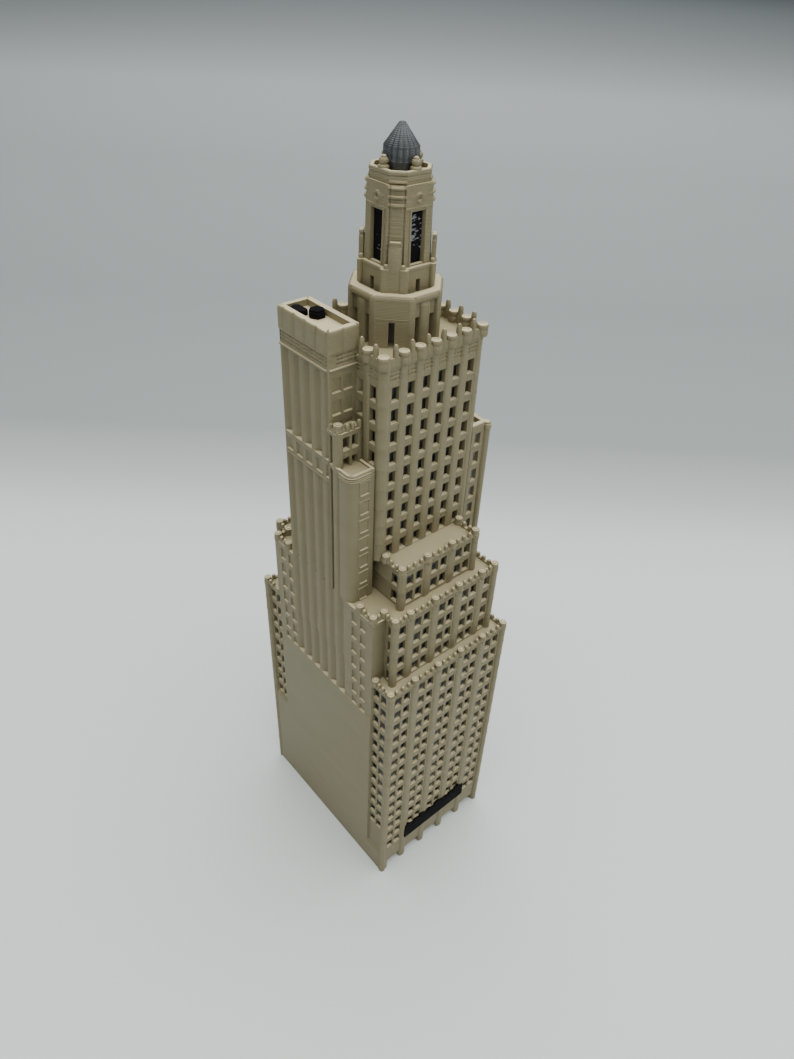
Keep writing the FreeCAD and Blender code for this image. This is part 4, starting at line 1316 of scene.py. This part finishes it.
slot_top = drum_floor + 4.5
middle = flat / 2
slots = [(middle + side * SLOT_AT - SLOT_HALF, middle + side * SLOT_AT + SLOT_HALF, drum_floor, slot_top)
         for side in (-1, 1)]
face_samples = [middle + (SLOT_AT - SLOT_HALF) * step for step in ROUND_STEPS]
face_samples += [end for slot in slots for end in slot[:2]]
face_samples += [end for t in (0.2, 0.4, 0.55, 0.62) for end in (t, flat - t)]
slant_slot = [(slant / 2 - 0.45, slant / 2 + 0.45, drum_floor, slot_top - 0.5)]
slant_samples = [slant / 2 - 0.45, slant / 2 + 0.45, slant / 2, 0.4, slant - 0.4]
lines = [drum_floor, slot_top, slot_top - 0.5, drum_top]
lines += list(drum_top - 0.55 + 0.55 * np.sin(np.linspace(-1.57, 1.57, 11)))
lines += [drum_top - drop for drop in (3.51, 3.45, 3.35, 3.29, 2.0, 1.8, 1.6, 1.4, 1.25, 1.15)]
drum_sides = [plain_side(face_samples, drum_face, slots),
              plain_side(slant_samples, drum_slant, slant_slot)] * 4
parts = [wall_ring(octagon(drum_wall, drum_cut), drum_sides, within(lines, drum_floor, drum_top), 1.0,
                   [-0.9] * 8, drum_corner)]
parts.append(slab(octagon(drum_wall - 0.5, drum_cut), drum_top - 2.1, drum_top - 1.3, 0.02))
add_piece("crown_lower_drum", parts, "stone", "crown_drum")

# %% Upper drum
low, high = span("crown_upper_drum")
upper_floor, upper_top = low[2], high[2]
lantern_floor = span("lantern_body")[0][2]
UPPER_PROUD = 0.55
upper_half, upper_cut = 4.65, 2.1
flat, slant = 2 * (upper_half - upper_cut), upper_cut * math.sqrt(2)


def upper_face(t, z):
    """Flat face with a thin eased rim, and the rounded edge of a corner slab at each end."""
    ends = (shoulders(t, -9, 0.42, 0.3, UPPER_PROUD), shoulders(t, flat - 0.42, 99, 0.3, UPPER_PROUD))
    return highest(0.12 * half_round(z, upper_top - 0.55, 0.3, 1.0), *ends)


def upper_slant(t, z):
    """Corner slab with rounded edges, split by a shallow channel."""
    channel = 0.14 * plateau(t, slant / 2 - 0.75, slant / 2 + 0.75, 0.15)
    return UPPER_PROUD - channel + 0 * z


slot = [(flat / 2 - 0.4, flat / 2 + 0.4, upper_floor + 0.7, upper_floor + 2.8)]
lines = [upper_floor, upper_floor + 0.7, upper_floor + 2.8, upper_top - 0.3]
lines += list(upper_top - 0.55 + 0.25 * np.array([-1.2, -1, -0.6, 0, 0.6, 1]))
face_samples = [flat / 2 - 0.4, flat / 2 + 0.4]
face_samples += [end for t in (0.1, 0.2, 0.3, 0.38, 0.42) for end in (t, flat - t)]
slant_samples = [slant / 2 + side * reach for side in (-1, 1) for reach in (0.75, 0.9)]
slant_samples += [end for t in (0.06, 0.14, 0.25, 0.45) for end in (t, slant - t)]
upper_sides = [plain_side(face_samples, upper_face, slot), plain_side(slant_samples, upper_slant)] * 4
parts = [wall_ring(octagon(upper_half, upper_cut), upper_sides, lines, 0.9)]
parts.append(slab(octagon(upper_half - 0.45, upper_cut), lantern_floor - 0.8, lantern_floor, 0.02))
corner_reach = (upper_half * 2 - upper_cut) / math.sqrt(2)
EAR_PROFILE = [(0.42, -2.0), (0.42, 0.0), (0.34, 0.22), (0.14, 0.3)]
for turn in (45, 135, 225, 315):
    ray, side = compass(turn)
    for step in (-1.15, 1.15):
        spot = centre + ray * (corner_reach + 0.03) + side * step
        parts.append(turned(EAR_PROFILE, spot[0], spot[1], upper_top, 12))
add_piece("crown_upper_ring", parts, "stone", "crown_upper_drum")

# %% Lantern body
low, high = span("lantern_body")
lantern_top = high[2]
half_low = (high[0] - low[0]) / 2
lantern_cut = 1.9
window_low, window_high = span("lantern_window_south")
OPENING = 1.22
shaft_top, step_top = lantern_floor + 9.2, lantern_floor + 11.2
LANTERN_WALL = 0.9
lantern_plan = octagon(half_low - 0.15, lantern_cut)
flat, slant = 2 * (half_low - 0.15 - lantern_cut), lantern_cut * math.sqrt(2)


def taper(z):
    """The shaft leans in slightly, then steps in twice near the top."""
    lean = -0.18 * (z - lantern_floor) / (shaft_top - lantern_floor)
    return np.where(z < shaft_top, lean, np.where(z < step_top, -0.22, -0.42))


def lantern_collar(z):
    """Ledge just under the top of the lantern."""
    return 0.12 * plateau(z, lantern_top - 0.5, lantern_top - 0.1, 0.1)


def lantern_face(t, z):
    """Window frame, a ring medal over the window and ledge lines."""
    frame_line = shoulders(np.abs(t - flat / 2), OPENING, OPENING + 0.42, 0.15, 0.15)
    frame_line = frame_line * plateau(z, lantern_floor + 0.3, window_high[2] + 0.3, 0.1)
    away = np.sqrt((t - flat / 2) ** 2 + (z - shaft_top - 0.3) ** 2)
    head = 0.1 * plateau(z, window_high[2] + 0.35, window_high[2] + 0.55, 0.1)
    return highest(frame_line, 0.3 * bell(away, 0.5, 0.16), head, lantern_collar(z)) + taper(z)


def lantern_slant(t, z):
    """Rounded corner face: layer lines, a groove down each side and four small ledges near the top."""
    grooves = sum(bell(t, at, 0.12) for at in (0.35, slant - 0.35)) * (z < step_top)
    ledges = sum(plateau(z, level, level + 0.22, 0.1) for level in lantern_ledges)
    lens = half_round(t, slant / 2, slant / 2, 1.0)
    barrel = 0.25 * half_round(t, slant / 2, slant / 2 + 0.3, 1.0) * (z < step_top)
    layers = 0.03 * np.sin(2 * math.pi * z / LAYER_STEP)
    return np.maximum(0.3 * ledges * lens, lantern_collar(z)) + barrel + layers - 0.2 * grooves + taper(z)


LAYER_STEP = 0.56
lantern_ledges = (135.7, 136.7, 137.8, 138.5)
opening = [(flat / 2 - OPENING, flat / 2 + OPENING, window_low[2], window_high[2])]
lines = [lantern_floor, lantern_floor + 0.2, lantern_floor + 0.3, window_low[2], window_high[2]]
lines += [window_high[2] + rise for rise in (0.25, 0.3, 0.35, 0.4, 0.55, 0.65)]
lines += [level + rise for level in lantern_ledges for rise in (-0.1, 0, 0.15, 0.25)]
lines += [shaft_top, shaft_top - 0.03, step_top, step_top - 0.03]
lines += [lantern_top - drop for drop in (0, 0.1, 0.5, 0.6)]
lines += list(np.arange(shaft_top - 0.5, shaft_top + 1.0, 0.12))
lines += list(np.arange(lantern_floor + 1, lantern_top, LAYER_STEP / 4))
face_samples = [flat / 2 + side * (OPENING + extra)
                for side in (-1, 1) for extra in (0, 0.08, 0.15, 0.27, 0.34, 0.42)]
face_samples += list(flat / 2 + np.arange(-5, 6) * 0.12)
slant_samples = [at + step for at in (0.35, slant - 0.35) for step in (-0.22, -0.12, 0, 0.12, 0.22)]
slant_samples += list(slant / 2 + np.arange(-3, 4) * 0.25)
lantern_sides = [plain_side(face_samples, lantern_face, opening),
                 plain_side(slant_samples, lantern_slant)] * 4
parts = [wall_ring(lantern_plan, lantern_sides, lines, LANTERN_WALL)]
parts.append(deck(lantern_plan, 0.35, lantern_top - 1.2, lantern_top - 0.6))
add_piece("lantern_walls", parts, "stone", "lantern_body")

# %% Buttresses
BUTTRESS_OUTLINE = np.array([(-0.35, -0.92), (0.2, -0.92), (0.35, -0.72), (0.35, 0.72), (0.2, 0.92),
                             (-0.35, 0.92)])
BUTTRESS_STEPS = [(1.0, 0), (1.0, 0.8), (0.86, 0.83), (0.86, 0.93), (0.95, 0.95), (0.8, 1)]
for name, turn in (("southwest", 225), ("southeast", 315), ("northeast", 45), ("northwest", 135)):
    middle, _, tall = middle_and_reach("lantern_buttress_" + name)
    facing = BUTTRESS_OUTLINE @ np.array(compass(turn))
    rings = [np.column_stack([middle[:2] + grow * facing, np.full(6, middle[2] + (rise - 0.5) * tall)])
             for grow, rise in BUTTRESS_STEPS]
    add_piece("buttress_" + name, [stack(np.array(rings))], "stone", "lantern_buttress_" + name)

# %% Urns
URN_PROFILE = [(0.75, 0), (0.98, 0.12), (0.98, 0.75), (0.85, 0.88), (0.62, 0.95), (0.62, 1.05), (0.8, 1.2),
               (0.84, 1.45), (0.72, 1.7), (0.5, 1.82), (0.5, 1.95), (0.3, 2.1)]
for name in ("south", "east", "north", "west"):
    middle, reach, tall = middle_and_reach("lantern_urn_" + name)
    urn = scaled_turn(URN_PROFILE, 1.12 * reach, 1, middle[0], middle[1], middle[2] - tall / 2, 18)
    add_piece("urn_" + name, [urn], "stone", "lantern_urn_" + name)

# %% Cap
middle, reach, tall = middle_and_reach("lantern_cap")
CAP_RIDGES = 16
angle = np.arange(96) * 2 * math.pi / 96
circle = np.stack([np.cos(angle), np.sin(angle)], -1)
ridge = 1 - 0.09 * (1 - np.abs(np.cos(CAP_RIDGES / 2 * angle)))
flare = [(0.8, 0.0), (0.86, 0.4), (0.96, 1.1)]
drum = [(1 - 0.018 * (level % 2), 1.25 + level * 0.1) for level in range(17)]
cone = [(0.99, 2.98), (0.2, tall - 0.12), (0.14, tall)]
rings = []
for share, height in flare + drum + cone:
    radius = share * reach * (ridge if height > 0.5 else np.ones(len(angle)))
    rings.append(np.column_stack([middle[:2] + radius[:, None] * circle,
                                  np.full(len(angle), middle[2] - tall / 2 + height)]))
add_piece("cap", [stack(np.array(rings))], "cap", "lantern_cap")

# %% Marquee band
low, high = span("marquee_band")
plan = box_plan(low, high, 0.12)
length = high[0] - low[0] - 0.24
PLEAT = 0.3


def pleats(t, z):
    """Fine upright pleats over the middle of the band."""
    return 0.06 * np.sin(t * math.pi / PLEAT + 1.57) * plateau(z, low[2] + 0.4, high[2] - 1.2)


ribbed = plain_side(np.arange(0.1, length, PLEAT), pleats)
lines = [low[2], low[2] + 0.1, low[2] + 0.25, low[2] + 0.4, high[2] - 1.2, high[2] - 1.05, high[2] - 0.9]
parts = [wall_ring(plan, [ribbed, plain_side(), plain_side(), plain_side()], lines, 0.12)]
parts.append(slab(box_plan(low, high, 0.18), low[2] + 0.1, high[2] - 0.9, 0.1))
teeth = np.arange(0.45, length, 0.62)
for x, rise in zip(low[0] + teeth, 1.2 + 0.6 * np.sin(teeth * 2.1) * np.sin(teeth * 0.9)):
    front_y, back_y = low[1] + 0.16, high[1] - 0.1
    tooth = [(x - 0.3, front_y), (x + 0.3, front_y), (x + 0.3, back_y), (x - 0.3, back_y)]
    parts.append(slab(tooth, high[2] - 1.1, high[2] - 0.95 + rise, 0.25))
add_piece("marquee", parts, "black", "marquee_band")

# %% [markdown]
# # Finishes on the plain inner blocks
# The silver blocks, the black glazing and the window panes keep their frame shapes. Only their
# material slots change.

# %% Give the frame's own nodes their plastics
for node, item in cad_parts.items():
    kind = "stone"
    if node.endswith("_core"):
        kind = "silver"
    if node.startswith("entrance_"):
        kind = "black"
    if node.startswith("lantern_window"):
        kind = "pane"
    item.data.materials.clear()
    item.data.materials.append(finishes[kind])

# %% [markdown]
# # Floor, light and camera
# The model stands on a pale floor. A broad soft lamp hangs overhead, so flat tops are brighter
# than walls. A weak lamp in front lifts the south face over the west one, and a third lights the
# far floor. The floor's colour carries painted shade: it darkens behind the model and pales again
# further off. Lamps and floor are placed in metres.

# %% Floor
AWAY = (0.673, 0.740)
# Painted shade on the floor: tones by distance along the view in metres, darkest from 0.16 to 0.30 behind
# the model.
FLOOR_PAINTED_SHADE = [(0.0, (0.68, 0.735, 0.74)), (0.075, (0.69, 0.745, 0.75)), (0.10, (0.62, 0.67, 0.68)),
               (0.125, (0.44, 0.48, 0.485)), (0.16, (0.295, 0.33, 0.335)), (0.30, (0.275, 0.31, 0.315)),
               (0.60, (0.36, 0.40, 0.405)), (1.0, (0.58, 0.63, 0.64))]
floor_mesh = bpy.data.meshes.new("floor")
FLOOR_REACH = 12.0
floor_corners = [(x * FLOOR_REACH, y * FLOOR_REACH, 0) for x, y in ((-1, -1), (1, -1), (1, 1), (-1, 1))]
floor_mesh.from_pydata(floor_corners, [], [(0, 1, 2, 3)])
floor = bpy.data.objects.new("floor", floor_mesh)
bpy.context.scene.collection.objects.link(floor)
material, tree, shader, place = new_finish("floor_with_painted_shade", (0.72, 0.75, 0.77), 0.6)
parts = tree.nodes.new("ShaderNodeSeparateXYZ")
tree.links.new(place, parts.inputs[0])
away = math_node(tree, "ADD", math_node(tree, "MULTIPLY", parts.outputs["X"], AWAY[0]),
                 math_node(tree, "MULTIPLY", parts.outputs["Y"], AWAY[1]))
tint(tree, shader, away, FLOOR_PAINTED_SHADE)
floor_mesh.materials.append(material)

# %% Light
def placed(right, up, back, spot):
    """Matrix that turns the three axes of an object to given directions and puts it at a spot."""
    return Matrix([*zip(right, up, back, spot), (0, 0, 0, 1)])


def soft_light(name, spot, target, size, power, colour):
    """Square area light aimed at a target point, in metres."""
    lamp = bpy.data.lights.new(name, "AREA")
    lamp.size = size
    lamp.energy = power
    lamp.color = colour
    holder = bpy.data.objects.new(name, lamp)
    aim = np.array(target, float) - np.array(spot, float)
    aim /= np.linalg.norm(aim)
    side = np.cross(aim, (0, 0, 1.0))
    side /= np.linalg.norm(side)
    holder.matrix_world = placed(side, np.cross(side, aim), -aim, spot)
    bpy.context.scene.collection.objects.link(holder)


soft_light("overhead", (0.06, -0.08, 0.9), (0, 0, 0.0), 1.7, 25.0, (1.0, 0.98, 0.94))
soft_light("front_right", (0.35, -0.75, 0.55), (0, 0, 0.07), 0.6, 0.5, (1.0, 0.98, 0.95))
soft_light("far_floor", (1.5, 1.6, 1.4), (1.5, 1.7, 0.0), 2.4, 11.0, (0.97, 1.0, 1.0))
world = bpy.data.worlds.new("room")
world.use_nodes = True
backdrop = world.node_tree.nodes["Background"]
backdrop.inputs["Color"].default_value = (0.78, 0.84, 0.9, 1)
backdrop.inputs["Strength"].default_value = 0.1
bpy.context.scene.world = world

# %% Camera
YAW, PITCH, ROLL = 0.738, 0.671, -0.05
EYE_SPOT = np.array([-72.65, -83.14, 165.22]) * MM
look = np.array([math.sin(YAW) * math.cos(PITCH), math.cos(YAW) * math.cos(PITCH), -math.sin(PITCH)])
right = np.array([math.cos(YAW), -math.sin(YAW), 0.0])
down = np.cross(look, right)
rolled = math.cos(ROLL) * right + math.sin(ROLL) * down
right, down = rolled, math.cos(ROLL) * down - math.sin(ROLL) * right
eye = bpy.data.cameras.new("eye")
eye.sensor_fit = "VERTICAL"
eye.sensor_height = 36.0
eye.lens = 25.98
eye.clip_start = 0.005
camera = bpy.data.objects.new("eye", eye)
camera.matrix_world = placed(right, -down, -look, EYE_SPOT)
bpy.context.scene.collection.objects.link(camera)
bpy.context.scene.camera = camera

print("triangles in all", sum(tally.values()))
